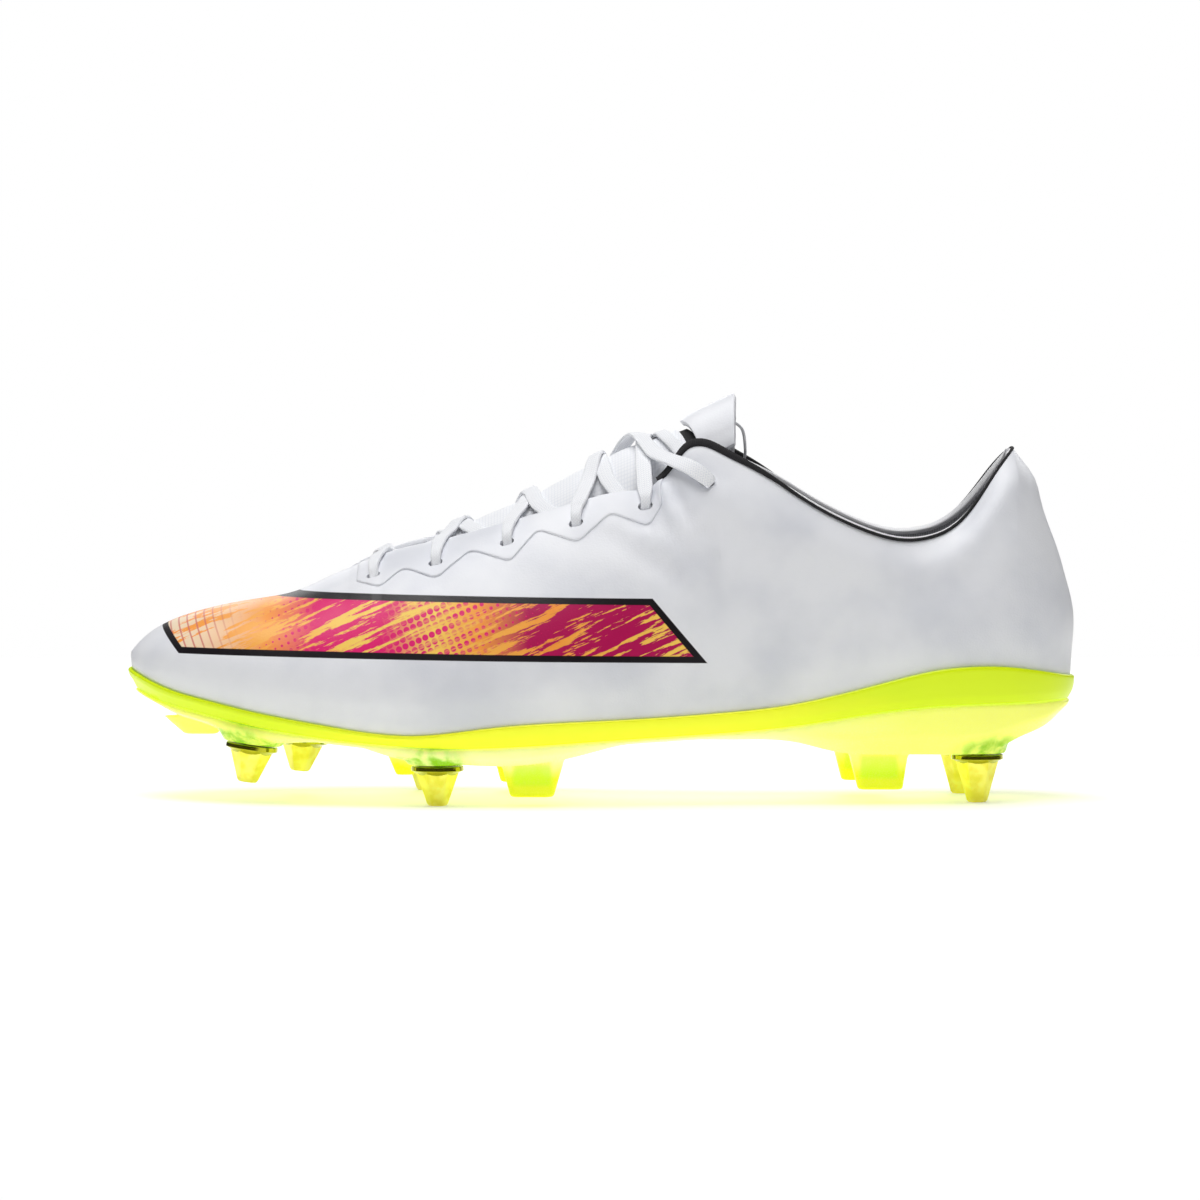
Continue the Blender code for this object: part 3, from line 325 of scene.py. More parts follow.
def stations(first, last, count, dense_first=False, dense_last=False):
    share = np.linspace(0, 1, count)
    if dense_first:
        share = 1 - np.cos(math.pi / 2 * share)
    elif dense_last:
        share = np.sin(math.pi / 2 * share)
    return [float(v) for v in first + (last - first) * share]


ALL_STATIONS = (
    stations(TOE_X, THROAT_X, 44, dense_first=True)
    + stations(THROAT_X, 14, 52, dense_first=True)[1:]
    + stations(14, 40, 24)[1:]
    + stations(40, HEEL_TOP_X, 50, dense_last=True)[1:]
    + stations(HEEL_TOP_X, HEEL_X, 22, dense_last=True)[1:]
)


def ring_columns(first, last):
    """(x, side) columns round part of the boot."""
    chosen = sorted({x for x in ALL_STATIONS if first < x < last} | {first, last})
    lateral = [(x, LATERAL) for x in reversed(chosen)]
    medial = [(x, MEDIAL) for x in chosen]
    columns = lateral + medial[1:] if first == TOE_X else medial + lateral[1:]
    return columns[:-1] if first == TOE_X and last == HEEL_X else columns


def grid_normals(points, closed, on_ridge):
    count = len(points)
    before = [points[i - 1 if closed or i else 0] for i in range(count)]
    after = [points[(i + 1) % count if closed else min(i + 1, count - 1)] for i in range(count)]
    along = np.array(after) - np.array(before)
    upward = np.gradient(points, axis=1)
    upward[on_ridge, -1] = (0, 1, 0)
    normals = np.cross(upward, along)
    sizes = np.linalg.norm(normals, axis=2, keepdims=True)
    normals /= np.maximum(sizes, 1e-9)
    flip = on_ridge & (normals[:, -1, 2] < 0)
    normals[flip, -1] *= -1
    flat = sizes[:, -1, 0] < 1e-6
    normals[flat, -1] = normals[flat, -2]
    return normals


def patch(columns, low, high, rows, depth=0.0, relief=None):
    """A grid of points on the skin, each moved in by a depth and out by a relief(x, side, q, z)."""
    shares = np.asarray(rows if np.ndim(rows) else np.linspace(0, 1, rows))
    spans = [(low(x, s), high(x, s)) for x, s in columns]
    q = [[a + (b - a) * t for t in shares] for a, b in spans]
    points = np.array([[skin(x, s, v) for v in row] for (x, s), row in zip(columns, q)])
    closed = len({x for x, _ in columns} & {TOE_X, HEEL_X}) == 2
    on_ridge = np.array([b >= 2 and x not in (TOE_X, HEEL_X) for (x, _), (_, b) in zip(columns, spans)])
    normals = grid_normals(points, closed, on_ridge)
    move = np.zeros(points.shape[:2])
    for i, (x, s) in enumerate(columns):
        for j, t in enumerate(shares):
            deep = depth(t, x) if callable(depth) else depth
            move[i, j] = -deep + (relief(x, s, q[i][j], points[i, j, 2]) if relief else 0)
    return points + normals * move[:, :, None], closed


def link(name, data):
    """A new object in the scene that holds the data."""
    obj = bpy.data.objects.new(name, data)
    bpy.context.scene.collection.objects.link(obj)
    return obj


def crease(obj, angle):
    obj.data.set_sharp_from_angle(angle=math.radians(angle))


def new_object(name, points, faces, look=None, smooth_angle=40):
    mesh = bpy.data.meshes.new(name)
    mesh.from_pydata([tuple(p) for p in np.asarray(points, float) * MM], [], faces)
    obj = link(name, mesh)
    if look:
        mesh.materials.append(look)
    mesh.shade_smooth()
    if smooth_angle:
        mesh.set_sharp_from_angle(angle=math.radians(smooth_angle))
    return obj


def weld(obj, distance=0.02):
    work = bmesh.new()
    work.from_mesh(obj.data)
    bmesh.ops.remove_doubles(work, verts=work.verts, dist=distance * MM)
    work.to_mesh(obj.data)
    work.free()


def bake(obj):
    """Applies every modifier."""
    graph = bpy.context.evaluated_depsgraph_get()
    mesh = bpy.data.meshes.new_from_object(obj.evaluated_get(graph))
    obj.modifiers.clear()
    obj.data = mesh


def thicken(obj, thickness, offset=-1):
    solid = obj.modifiers.new("thickness", "SOLIDIFY")
    solid.thickness = thickness * MM
    solid.offset = offset
    bake(obj)


def bevel_edges(obj, width, segments=3, angle=50):
    """Rounds the sharp edges."""
    bevel = obj.modifiers.new("round", "BEVEL")
    bevel.width = width * MM
    bevel.segments = segments
    bevel.limit_method = "ANGLE"
    bevel.angle_limit = math.radians(angle)
    bevel.use_clamp_overlap = True
    bake(obj)
    obj.data.shade_smooth()


def sheet_faces(count, rows, closed):
    faces = []
    for i in range(count if closed else count - 1):
        k = (i + 1) % count
        for j in range(rows - 1):
            faces.append((i * rows + j, i * rows + j + 1, k * rows + j + 1, k * rows + j))
    return faces


def tube_faces(rings, count):
    """Faces of a closed tube of rings, and of its two ends."""
    faces = []
    for i in range(rings - 1):
        for j in range(count):
            k = (j + 1) % count
            faces.append((i * count + j, i * count + k, (i + 1) * count + k, (i + 1) * count + j))
    return faces + [tuple(range(count))[::-1], tuple(range((rings - 1) * count, rings * count))]


def skin_sheet(name, columns, low, high, rows, depth, look, relief=None):
    points, closed = patch(columns, low, high, rows, depth, relief)
    count, height = points.shape[:2]
    obj = new_object(name, points.reshape(-1, 3), sheet_faces(count, height, closed), look, 0)
    weld(obj)
    return obj


def cut(obj, tool, operation):
    bpy.context.view_layer.update()
    step = obj.modifiers.new("cut", "BOOLEAN")
    step.operation = operation
    step.object = tool
    bake(obj)
    bpy.data.objects.remove(tool)


def fan_solid(name, columns, lines, look):
    """A solid closed all round the boot, from one line of points for each column."""
    faces = sheet_faces(len(columns), len(lines[0]), True)
    obj = new_object(name, [p for line in lines for p in line], faces, look, 0)
    weld(obj)
    return obj


def rim(inset):
    """The upper's bottom outline, moved inwards by inset, with the columns it belongs to."""
    columns = ring_columns(TOE_X, HEEL_X)
    row = np.array([skin(x, s, 0)[:2] for x, s in columns])
    along = np.roll(row, -1, axis=0) - np.roll(row, 1, axis=0)
    normal = np.stack((along[:, 1], -along[:, 0]), axis=1)
    normal /= np.linalg.norm(normal, axis=1, keepdims=True)
    return columns, row + normal * inset


def between(centre, edge, shares):
    """Points on the straight line from a centre to an edge."""
    (cx, cy), (ex, ey) = centre, edge
    return [(cx + (ex - cx) * t, cy + (ey - cy) * t) for t in shares]


def centre_of(x, inset):
    x = min(max(x, TOE_X + inset + 0.6), HEEL_X - inset - 0.6)
    return x, ridge_line(x)


# ---------------------------------------------------------------- node helpers


class Nodes:
    """Short calls for building one material's node tree."""

    def __init__(self, name, **sockets):
        self.material = bpy.data.materials.new(name)
        self.material.use_nodes = True
        self.tree = self.material.node_tree
        self.shader = self.tree.nodes["Principled BSDF"]
        for socket, value in sockets.items():
            self.shader.inputs[socket.replace("_", " ")].default_value = value

    def put(self, socket, value):
        if isinstance(value, bpy.types.NodeSocket):
            self.tree.links.new(value, socket)
        else:
            socket.default_value = value

    def node(self, kind, inputs=(), out=0, **settings):
        made = self.tree.nodes.new("ShaderNode" + kind)
        for key, value in settings.items():
            setattr(made, key, value)
        for key, value in dict(inputs).items():
            self.put(made.inputs[key], value)
        return made.outputs[out]

    def math(self, operation, *values):
        return self.node("Math", enumerate(values), operation=operation)

    add = functools.partialmethod(math, "ADD")
    less = functools.partialmethod(math, "SUBTRACT")
    times = functools.partialmethod(math, "MULTIPLY")
    size = functools.partialmethod(math, "ABSOLUTE")
    sine = functools.partialmethod(math, "SINE")
    fract = functools.partialmethod(math, "FRACT")
    most = functools.partialmethod(math, "MAXIMUM")

    def vector(self, operation, *values):
        return self.node("VectorMath", enumerate(values), operation=operation)

    def step(self, value, low, high, to_low=0.0, to_high=1.0):
        """Soft step of a number from low to high."""
        inputs = {"Value": value, "From Min": low, "From Max": high, "To Min": to_low, "To Max": to_high}
        return self.node("MapRange", inputs, interpolation_type="SMOOTHSTEP")

    def mix(self, factor, a, b):
        return self.node("Mix", {0: factor, 6: a, 7: b}, out=2, data_type="RGBA")

    def ramp(self, factor, *stops):
        made = self.tree.nodes.new("ShaderNodeValToRGB")
        elements = made.color_ramp.elements
        while len(elements) < len(stops):
            elements.new(0.5)
        for element, (place, colour) in zip(elements, stops):
            element.position = place
            element.color = colour
        self.put(made.inputs[0], factor)
        return made.outputs[0]

    def place(self):
        """Position on the piece at rest, in millimetres."""
        return self.vector("MULTIPLY", self.node("TexCoord", out=3), (1000, 1000, 1000))

    def split(self, vector):
        made = self.tree.nodes.new("ShaderNodeSeparateXYZ")
        self.put(made.inputs[0], vector)
        return made.outputs

    def join(self, x, y, z):
        return self.node("CombineXYZ", enumerate((x, y, z)))

    def noise(self, vector, scale, detail=3.0, rough=0.5):
        return self.node("TexNoise", {"Vector": vector, "Scale": scale, "Detail": detail, "Roughness": rough})

    def bump(self, height, strength, distance):
        return self.node("Bump", {"Height": height, "Strength": strength, "Distance": distance * MM})

    def set(self, socket, value):
        self.put(self.shader.inputs[socket], value)


def rgb(red, green, blue):
    """A colour given in 0 to 255 display values."""
    def linear(v):
        v /= 255
        return v / 12.92 if v <= 0.04045 else ((v + 0.055) / 1.055) ** 2.4

    return linear(red), linear(green), linear(blue), 1.0


# ---------------------------------------------------------------- materials

WHITE = rgb(241, 242, 246)
FAINT = rgb(224, 226, 233)
INK = rgb(10, 1, 9)
MAGENTA = rgb(230, 14, 112)
DEEP_PINK = rgb(184, 0, 84)
ORANGE = rgb(255, 160, 62)
YELLOW = rgb(255, 214, 96)
CREAM = rgb(250, 228, 196)
FINE_LINE = rgb(214, 110, 104)
VOLT = rgb(212, 236, 8)
VOLT_BRIGHT = rgb(240, 246, 34)
VOLT_GREEN = rgb(198, 238, 16)
PALE_VOLT = rgb(250, 254, 120)
MILKY_VOLT = rgb(252, 254, 170)
DEEP_VOLT = rgb(230, 238, 26)
# Green of the painted shade round the stud seats
SEAT_SHADE_GREEN = rgb(136, 196, 8)


def white_leather(name, rough=0.4, grain=1.0, graphic=False):
    """Coated white synthetic: a fine pebble over a slow unevenness, slightly cooler in broad random patches."""
    n = Nodes(name, Roughness=rough, Sheen_Weight=0.04, Specular_IOR_Level=0.32)
    place = n.place()
    slow = n.noise(place, 0.035, 3)
    base = n.mix(n.step(slow, 0.35, 0.75), WHITE, FAINT)
    pebble = n.node("TexVoronoi", {"Vector": place, "Scale": 1.5, "Randomness": 1.0}, feature="F1")
    fine = n.noise(place, 3.2, 3, 0.6)
    relief = n.add(n.times(pebble, 0.7), n.times(fine, 0.5))
    n.set("Roughness", n.step(fine, 0.3, 0.7, rough - 0.05, rough + 0.06))
    n.set("Normal", n.bump(relief, 0.35 * grain, 0.12))
    n.set("Base Color", print_graphic(n, place, base) if graphic else base)
    return n.material


def print_graphic(n, place, base):
    """A plain racing band round the forefoot, of even height, with blunt slanted ends."""
    x, _, z = n.split(place)
    level = n.add(BAND_LEVEL, n.times(n.add(x, 60.0), BAND_FALL))
    across = n.size(n.less(z, level))
    slant = n.add(x, n.times(n.less(z, BAND_LEVEL), BAND_SLANT))
    middle, reach = (BAND_FIRST + BAND_LAST) / 2, (BAND_LAST - BAND_FIRST) / 2
    along = n.less(n.size(n.less(slant, middle)), reach)
    out = n.most(n.times(along, 0.76), n.less(across, BAND_HALF))
    inside = n.step(out, -0.12, 0.12, 1, 0)
    outline = n.step(out, BAND_BORDER - 0.12, BAND_BORDER + 0.12, 1, 0)
    printed = n.mix(outline, base, INK)
    return n.mix(inside, printed, band_colour(n, x, place))


def band_colour(n, x, place):
    """Halftone fade from cream at the toe, through pink and yellow, to magenta at the rear."""
    share = n.step(x, -131, 34)
    base = n.ramp(
        share, (0, CREAM), (0.1, ORANGE), (0.2, MAGENTA), (0.36, MAGENTA), (0.5, YELLOW), (0.62, ORANGE),
        (0.74, DEEP_PINK), (1, DEEP_PINK),
    )
    turned = n.node("VectorRotate", {"Vector": place, "Axis": (0, 1, 0), "Angle": 0.42}, rotation_type="AXIS_ANGLE")
    streaks = n.noise(n.vector("MULTIPLY", turned, (0.055, 0.2, 0.6)), 1.0, 4, 0.62)
    fine = n.noise(n.vector("MULTIPLY", turned, (0.35, 0.5, 1.9)), 1.0, 3, 0.7)
    brush = n.step(n.add(streaks, n.times(fine, 0.16)), 0.60, 0.64)
    base = n.mix(brush, base, n.ramp(share, (0, ORANGE), (0.3, YELLOW), (0.45, YELLOW), (0.8, ORANGE), (1, YELLOW)))
    grid = n.split(n.vector("MULTIPLY", turned, (1 / DOT_PITCH, 1, 1 / DOT_PITCH)))
    dot_x = n.less(n.fract(grid[0]), 0.5)
    dot_z = n.less(n.fract(grid[2]), 0.5)
    off = n.math("SQRT", n.add(n.times(dot_x, dot_x), n.times(dot_z, dot_z)))
    size = n.times(0.44, n.times(n.step(x, -112, -70), n.step(x, -8, -50)))
    dots = n.step(n.less(off, size), -0.05, 0.05, 1, 0)
    base = n.mix(n.times(dots, n.step(streaks, 0.62, 0.42)), base, MAGENTA)
    line_x = n.size(n.less(n.fract(n.times(grid[0], 0.8)), 0.5))
    lines = n.times(n.step(line_x, 0.13, 0.06), n.step(x, -104, -120))
    return n.mix(n.times(lines, 0.8), base, FINE_LINE)


def volt_plastic(name, colour, second, rough=0.33, painted_glow=0.2, **more):
    """Injection-moulded fluorescent plastic with a painted glow: emission in its own colour makes it give back more
    light than falls on it.
    """
    n = Nodes(name, Roughness=rough, Specular_IOR_Level=0.35, Emission_Strength=painted_glow, **more)
    place = n.place()
    flow = n.noise(n.vector("MULTIPLY", place, (0.02, 0.06, 0.12)), 1.0, 3)
    from_middle = n.size(n.add(n.split(place)[0], 5.0))
    base = n.mix(n.step(n.add(from_middle, n.times(flow, 40.0)), 120.0, 60.0), colour, second)
    frost = n.noise(place, 2.4, 3, 0.6)
    n.set("Base Color", base)
    # Emission in the base colour: a painted glow, given off though the plastic is no lamp.
    n.set("Emission Color", base)
    n.set("Roughness", n.step(frost, 0.3, 0.7, rough - 0.04, rough + 0.06))
    n.set("Normal", n.bump(frost, 0.05, 0.05))
    return n


def clear_volt(name):
    """Translucent plate: milky above, deeper yellow below, a green painted shade round the stud seats, and green over
    the cores.
    """
    # The fifth argument, 0.26, is the strength of the plate's painted glow.
    n = volt_plastic(
        name, PALE_VOLT, MILKY_VOLT, 0.25, 0.26, Subsurface_Weight=0.4, Subsurface_Radius=(1.0, 1.0, 0.3),
        Subsurface_Scale=0.005,
    )
    place = n.place()
    x, y, z = n.split(place)
    base = n.shader.inputs["Base Color"].links[0].from_socket
    base = n.mix(n.step(n.add(z, n.times(n.noise(place, 0.2, 2), 3.0)), 9.5, 15.0), DEEP_VOLT, base)
    # Green painted shade round each stud seat, mottled at random.
    seat_shade = None
    for _, sx, sy, seat, _, _ in STUDS:
        flat = n.vector("MULTIPLY", n.vector("SUBTRACT", place, (sx, sy, seat + 0.5)), (1.0, 1.0, 1.6))
        near = n.step(n.node("VectorMath", {0: flat}, out=1, operation="LENGTH"), 17.0, 9.5)
        seat_shade = near if seat_shade is None else n.most(seat_shade, near)
    mottle = n.step(n.noise(place, 0.3, 3), 0.3, 0.65, 0.35, 1.0)
    base = n.mix(n.times(seat_shade, mottle), base, SEAT_SHADE_GREEN)
    core = None
    for _, root, tip, middle, _, _, low in CORED_BLADES:
        centre = (sum(root) / 2 + sum(tip) / 2) / 2
        wide = n.step(n.size(n.less(x, centre)), 6.6, 4.6)
        tall = n.times(n.step(z, low + 2.6, low + 4.4), n.step(z, low + 12.5, low + 9.0))
        side = n.step(n.size(n.less(y, middle)), 9.0, 7.0)
        area = n.times(wide, n.times(tall, side))
        core = area if core is None else n.most(core, area)
    base = n.mix(n.times(core, 0.6), base, VOLT_GREEN)
    n.set("Base Color", base)
    # The plate's painted glow takes the finished colour, the seat shade included.
    n.set("Emission Color", base)
    return n.material


def gold_metal(name):
    """Yellow anodised aluminium with a darker olive painted shade on the flange. UVs: u is 1 on the flange, v is the
    depth in mm.
    """
    n = Nodes(name, Metallic=1.0)
    place = n.place()
    flange, depth, _ = n.split(n.node("UVMap"))
    marks = n.noise(n.join(0.0, 0.0, n.times(depth, 5.0)), 1.0, 3, 0.7)
    haze = n.noise(place, 0.25, 2)
    cone = n.mix(n.step(haze, 0.35, 0.7), rgb(232, 224, 76), rgb(250, 242, 116))
    # The olive on the flange is painted shade from the seat the flange sits against.
    n.set("Base Color", n.mix(n.step(flange, 0.4, 0.6), cone, rgb(190, 190, 50)))
    n.set("Roughness", n.step(marks, 0.3, 0.7, 0.06, 0.15))
    n.set("Normal", n.bump(marks, 0.06, 0.04))
    return n.material


def steel(name):
    n = Nodes(name, Metallic=1.0, Roughness=0.3)
    place = n.place()
    z = n.split(place)[2]
    thread = n.sine(n.times(z, 2 * math.pi))
    stain = n.noise(place, 0.9, 3)
    n.set("Base Color", n.mix(stain, rgb(150, 150, 152), rgb(196, 196, 198)))
    n.set("Roughness", n.step(stain, 0.3, 0.7, 0.25, 0.42))
    n.set("Normal", n.bump(thread, 0.4, 0.25))
    return n.material


def woven(name, light, dark, pitch, rough=0.85, strength=0.6, sheen=0.25):
    """A plain weave laid on the piece's own UV map, which is in millimetres, with painted shade low between the
    threads.
    """
    n = Nodes(name, Roughness=rough, Sheen_Weight=sheen, Sheen_Roughness=0.5)
    place = n.vector("MULTIPLY", n.node("UVMap"), (1 / pitch, 1 / pitch, 1 / pitch))
    u, v, _ = n.split(place)
    over_u = n.sine(n.times(u, math.pi))
    over_v = n.sine(n.times(v, math.pi))
    weave = n.times(over_u, over_v)
    thread = n.size(weave)
    fuzz = n.noise(place, 1.6, 3, 0.7)
    height = n.add(n.times(thread, 0.8), n.times(fuzz, 0.35))
    # Darker low in the weave, lighter on the threads: painted shade between the threads, broken by random fuzz.
    n.set("Base Color", n.mix(n.step(height, 0.1, 0.8), dark, light))
    n.set("Roughness", n.step(fuzz, 0.3, 0.7, rough - 0.06, min(rough + 0.08, 1)))
    n.set("Normal", n.bump(height, strength, 0.2 * pitch))
    return n.material


def braid(name, light, dark):
    """A flat lace's herringbone: u runs across the lace and v along it, in millimetres. Painted shade darkens it where
    the weave is low.
    """
    n = Nodes(name, Roughness=0.72, Sheen_Weight=0.3, Sheen_Roughness=0.45)
    u, v, _ = n.split(n.node("UVMap"))
    zigzag = n.size(n.less(n.fract(n.math("DIVIDE", u, 1.5)), 0.5))
    slope = n.times(zigzag, 1.6)
    wave = n.sine(n.times(n.add(v, slope), 2 * math.pi / 0.85))
    columns = n.sine(n.times(u, 2 * math.pi / 0.75))
    height = n.add(n.times(wave, 0.5), n.times(columns, 0.25))
    fuzz = n.noise(n.place(), 2.5, 3, 0.7)
    height = n.add(height, n.times(fuzz, 0.3))
    # Darker where the herringbone is low: painted shade between the threads, broken by random fuzz.
    n.set("Base Color", n.mix(n.step(height, -0.5, 0.5), dark, light))
    n.set("Roughness", n.step(fuzz, 0.3, 0.7, 0.66, 0.82))
    n.set("Normal", n.bump(height, 0.35, 0.12))
    return n.material


def plain(name, colour, second, rough, scale, strength, **more):
    """Foam, board and other inner stuff: mottled colour with a matching surface."""
    n = Nodes(name, Roughness=rough, **more)
    place = n.place()
    spots = n.noise(place, scale, 4, 0.65)
    n.set("Base Color", n.mix(n.step(spots, 0.3, 0.7), colour, second))
    n.set("Roughness", n.step(spots, 0.3, 0.7, rough - 0.06, min(rough + 0.06, 1)))
    n.set("Normal", n.bump(spots, strength, 0.2))
    return n.material


LOOKS = {
    "upper": white_leather("white_synthetic_printed", graphic=True),
    "white": white_leather("white_synthetic", rough=0.36, grain=0.7),
    "tongue": woven("white_tongue_mesh", rgb(248, 249, 252), rgb(238, 240, 245), 0.9, 0.8, 0.12),
    "lace": braid("white_lace", rgb(250, 251, 253), rgb(234, 236, 242)),
    "aglet": plain("aglet_film", rgb(244, 244, 246), rgb(226, 228, 232), 0.25, 0.8, 0.1, Coat_Weight=0.5),
    "volt": volt_plastic("volt_outsole", VOLT, VOLT_BRIGHT, 0.34).material,
    "clear": clear_volt("clear_volt_plate"),
    "core": volt_plastic("volt_core", VOLT_GREEN, VOLT, 0.4).material,
    "gold": gold_metal("gold_anodised"),
    "steel": steel("turned_steel"),
    "binding": woven("black_binding", rgb(30, 28, 32), rgb(8, 7, 9), 0.55, 0.85, 0.4, 0.05),
    "lining": woven("grey_lining", rgb(206, 206, 210), rgb(164, 164, 168), 0.7, 0.9, 0.5, 0.35),
    "roll": woven("collar_roll_knit", rgb(250, 250, 252), rgb(238, 238, 240), 0.6, 0.9, 0.3, 0.35),
    "sock": woven("sockliner_top", rgb(112, 112, 116), rgb(72, 72, 76), 1.1, 0.9, 0.5, 0.3),
    "foam": plain("foam", rgb(190, 190, 194), rgb(160, 160, 166), 0.9, 1.4, 0.5),
    "board": plain("fibre_board", rgb(196, 178, 146), rgb(168, 150, 120), 0.85, 0.9, 0.3),
}


# ---------------------------------------------------------------- upper


def wrinkle(x, z, knots, spread, height):
    """A soft ridge along a short line of (x, z) points, fading at both ends."""
    best = 0.0
    for (ax, az), (bx, bz) in zip(knots, knots[1:]):
        span = (bx - ax) ** 2 + (bz - az) ** 2
        t = min(max(((x - ax) * (bx - ax) + (z - az) * (bz - az)) / span, 0.0), 1.0)
        far = math.hypot(x - ax - t * (bx - ax), z - az - t * (bz - az))
        best = max(best, math.exp(-((far / spread) ** 2)))
    return height * best


# Creases behind the last eyelet and across the quarter: points, spread and height
CREASES = (
    (((18.5, 93), (21, 86), (26, 79), (33, 72)), 1.8, 1.5),
    (((23, 91), (26.5, 83), (34, 77)), 1.8, -1.1),
    (((11, 78.5), (19, 76.5), (27, 70), (33, 62)), 2.7, 1.1),
    (((2, 79), (12, 74), (22, 67)), 2.6, -0.9),
    (((36, 90), (46, 82), (58, 74)), 4.0, 0.9),
    (((-34, 68), (-22, 65), (-8, 66)), 4.0, -0.3),
)


def before_tip(x):
    """1 along the collar, fading to 0 before its two sides meet at the heel's tip."""
    return 1 - smooth(x, 106, 120)


def upper_relief(x, side, q, z):
    """Padding at the collar, creases in the quarter and the pull of the laces, in mm along the normal."""
    out = sum(wrinkle(x, z, knots, spread, height) for knots, spread, height in CREASES)
    if x > 30:
        below = edge_z(x, side) - z if is_open(x) else HEEL_TOP_Z - z
        pad = smooth(x, 30, 60)
        out += 1.3 * pad * hump(below, 9.5, 6.0) - 0.9 * pad * hump(below, 0.0, 4.0) * before_tip(x)
        out -= 0.35 * smooth(x, 70, 95) * hump(z, 66, 7)
    if -66 < x < 16:
        for ex, ez in EYELETS[:5]:
            out -= 0.35 * hump(math.hypot(x - ex, z - ez + 5), 0, 5.0)
    return out - 0.25 * hump(q, 0.55, 0.2) * smooth(x, -110, -80)


def make_upper():
    columns = ring_columns(TOE_X, HEEL_X)
    rows = np.concatenate([np.linspace(0, 0.9, 40), np.linspace(0.9, 1, 8)[1:]])
    upper = skin_sheet("upper_shell", columns, lambda x, s: 0, q_edge, rows, 0, LOOKS["upper"], upper_relief)
    thicken(upper, UPPER_THICK)
    bevel_edges(upper, 0.35, 2, 60)
    cut(upper, eyelet_tool(EYELETS), "DIFFERENCE")
    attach(upper, "boot")
    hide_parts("upper")


def slot_prism(length, height, depth, corner=10):
    """Points of a rounded slot, extruded along Z."""
    outline = []
    reach = (length - height) / 2
    for centre, first in ((reach, -90), (-reach, 90)):
        for i in range(corner + 1):
            turn = math.radians(first + 180 * i / corner)
            outline.append((centre + height / 2 * math.cos(turn), height / 2 * math.sin(turn)))
    count = len(outline)
    points = [(x, y, -depth) for x, y in outline] + [(x, y, depth) for x, y in outline]
    faces = [tuple(range(count))[::-1], tuple(range(count, 2 * count))]
    faces += [(i, (i + 1) % count, count + (i + 1) % count, count + i) for i in range(count)]
    return points, faces


def eyelet_tool(eyelets, sides=SIDES):
    """One cutter that holds every eyelet slot, each square to the skin and in line with the throat."""
    points, faces = [], []
    for side in sides:
        for x, z in eyelets:
            point, normal, _ = skin_frame(x, side, q_at(x, side, z))
            ahead, behind = (skin(at, side, q_at(at, side, edge_z(at, side))) for at in (x + 2, x - 2))
            along = ahead - behind
            along = unit(along - normal * (along @ normal))
            across = np.cross(normal, along)
            first = len(points)
            prism, prism_faces = slot_prism(EYELET_LENGTH, EYELET_HEIGHT, EYELET_DEPTH)
            points += [point + along * a + across * b + normal * c for a, b, c in prism]
            faces += [tuple(first + v for v in face) for face in prism_faces]
    return new_object("eyelet_cutter", points, faces, None, 0)


def rounded_line(corners, radius=2.2, steps=5):
    """A zigzag with its corners rounded."""
    corners = [np.array(c, float) for c in corners]
    line = [corners[0]]
    for before, corner, after in zip(corners, corners[1:], corners[2:]):
        back, ahead = before - corner, after - corner
        start = corner + back * (radius / np.linalg.norm(back))
        end = corner + ahead * (radius / np.linalg.norm(ahead))
        for t in np.linspace(0, 1, steps):
            line.append(start * (1 - t) ** 2 + 2 * corner * t * (1 - t) + end * t**2)
    return line + [corners[-1]]


def spaced(values, least):
    """The values that lie at least a step after the one before."""
    kept = [values[0]]
    for value in values[1:]:
        if value > kept[-1] + least:
            kept.append(value)
    return kept


def make_eyestay(side):
    """The zigzag facing, fused on the upper, with its slots."""
    line = rounded_line(ZIGZAG)
    xs, zs = zip(*line)
    fine = spaced(sorted(set(xs) | set(np.linspace(xs[0], xs[-1], 90))), 0.45)
    shares = np.linspace(0, 1, 12)
    points = []
    for x in fine:
        low = q_at(x, side, float(np.interp(x, xs, zs)))
        high = q_at(x, side, edge_z(x, side) - 0.25)
        for t in shares:
            q = low + (high - low) * t
            point, normal, _ = skin_frame(x, side, q)
            points.append(point + normal * (EYESTAY_LOW + upper_relief(x, side, q, point[2])))
    faces = sheet_faces(len(fine), len(shares), False)
    if side == LATERAL:
        faces = [face[::-1] for face in faces]
    name = "eyestay_facing_" + ("lateral" if side == LATERAL else "medial")
    stay = new_object(name, points, faces, LOOKS["white"], 0)
    thicken(stay, EYESTAY_HIGH - EYESTAY_LOW, 1)
    bevel_edges(stay, 0.38, 3, 50)
    cut(stay, eyelet_tool(EYELETS[:5], sides=(side,)), "DIFFERENCE")
    crease(stay, 45)
    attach(stay, "boot")
    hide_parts("eyestay_lateral" if side == LATERAL else "eyestay_medial")


# ---------------------------------------------------------------- collar


def add_uv(obj, uv_of_vertex):
    layer = obj.data.uv_layers.new(name="UVMap")
    for loop in obj.data.loops:
        layer.data[loop.index].uv = uv_of_vertex[loop.vertex_index]


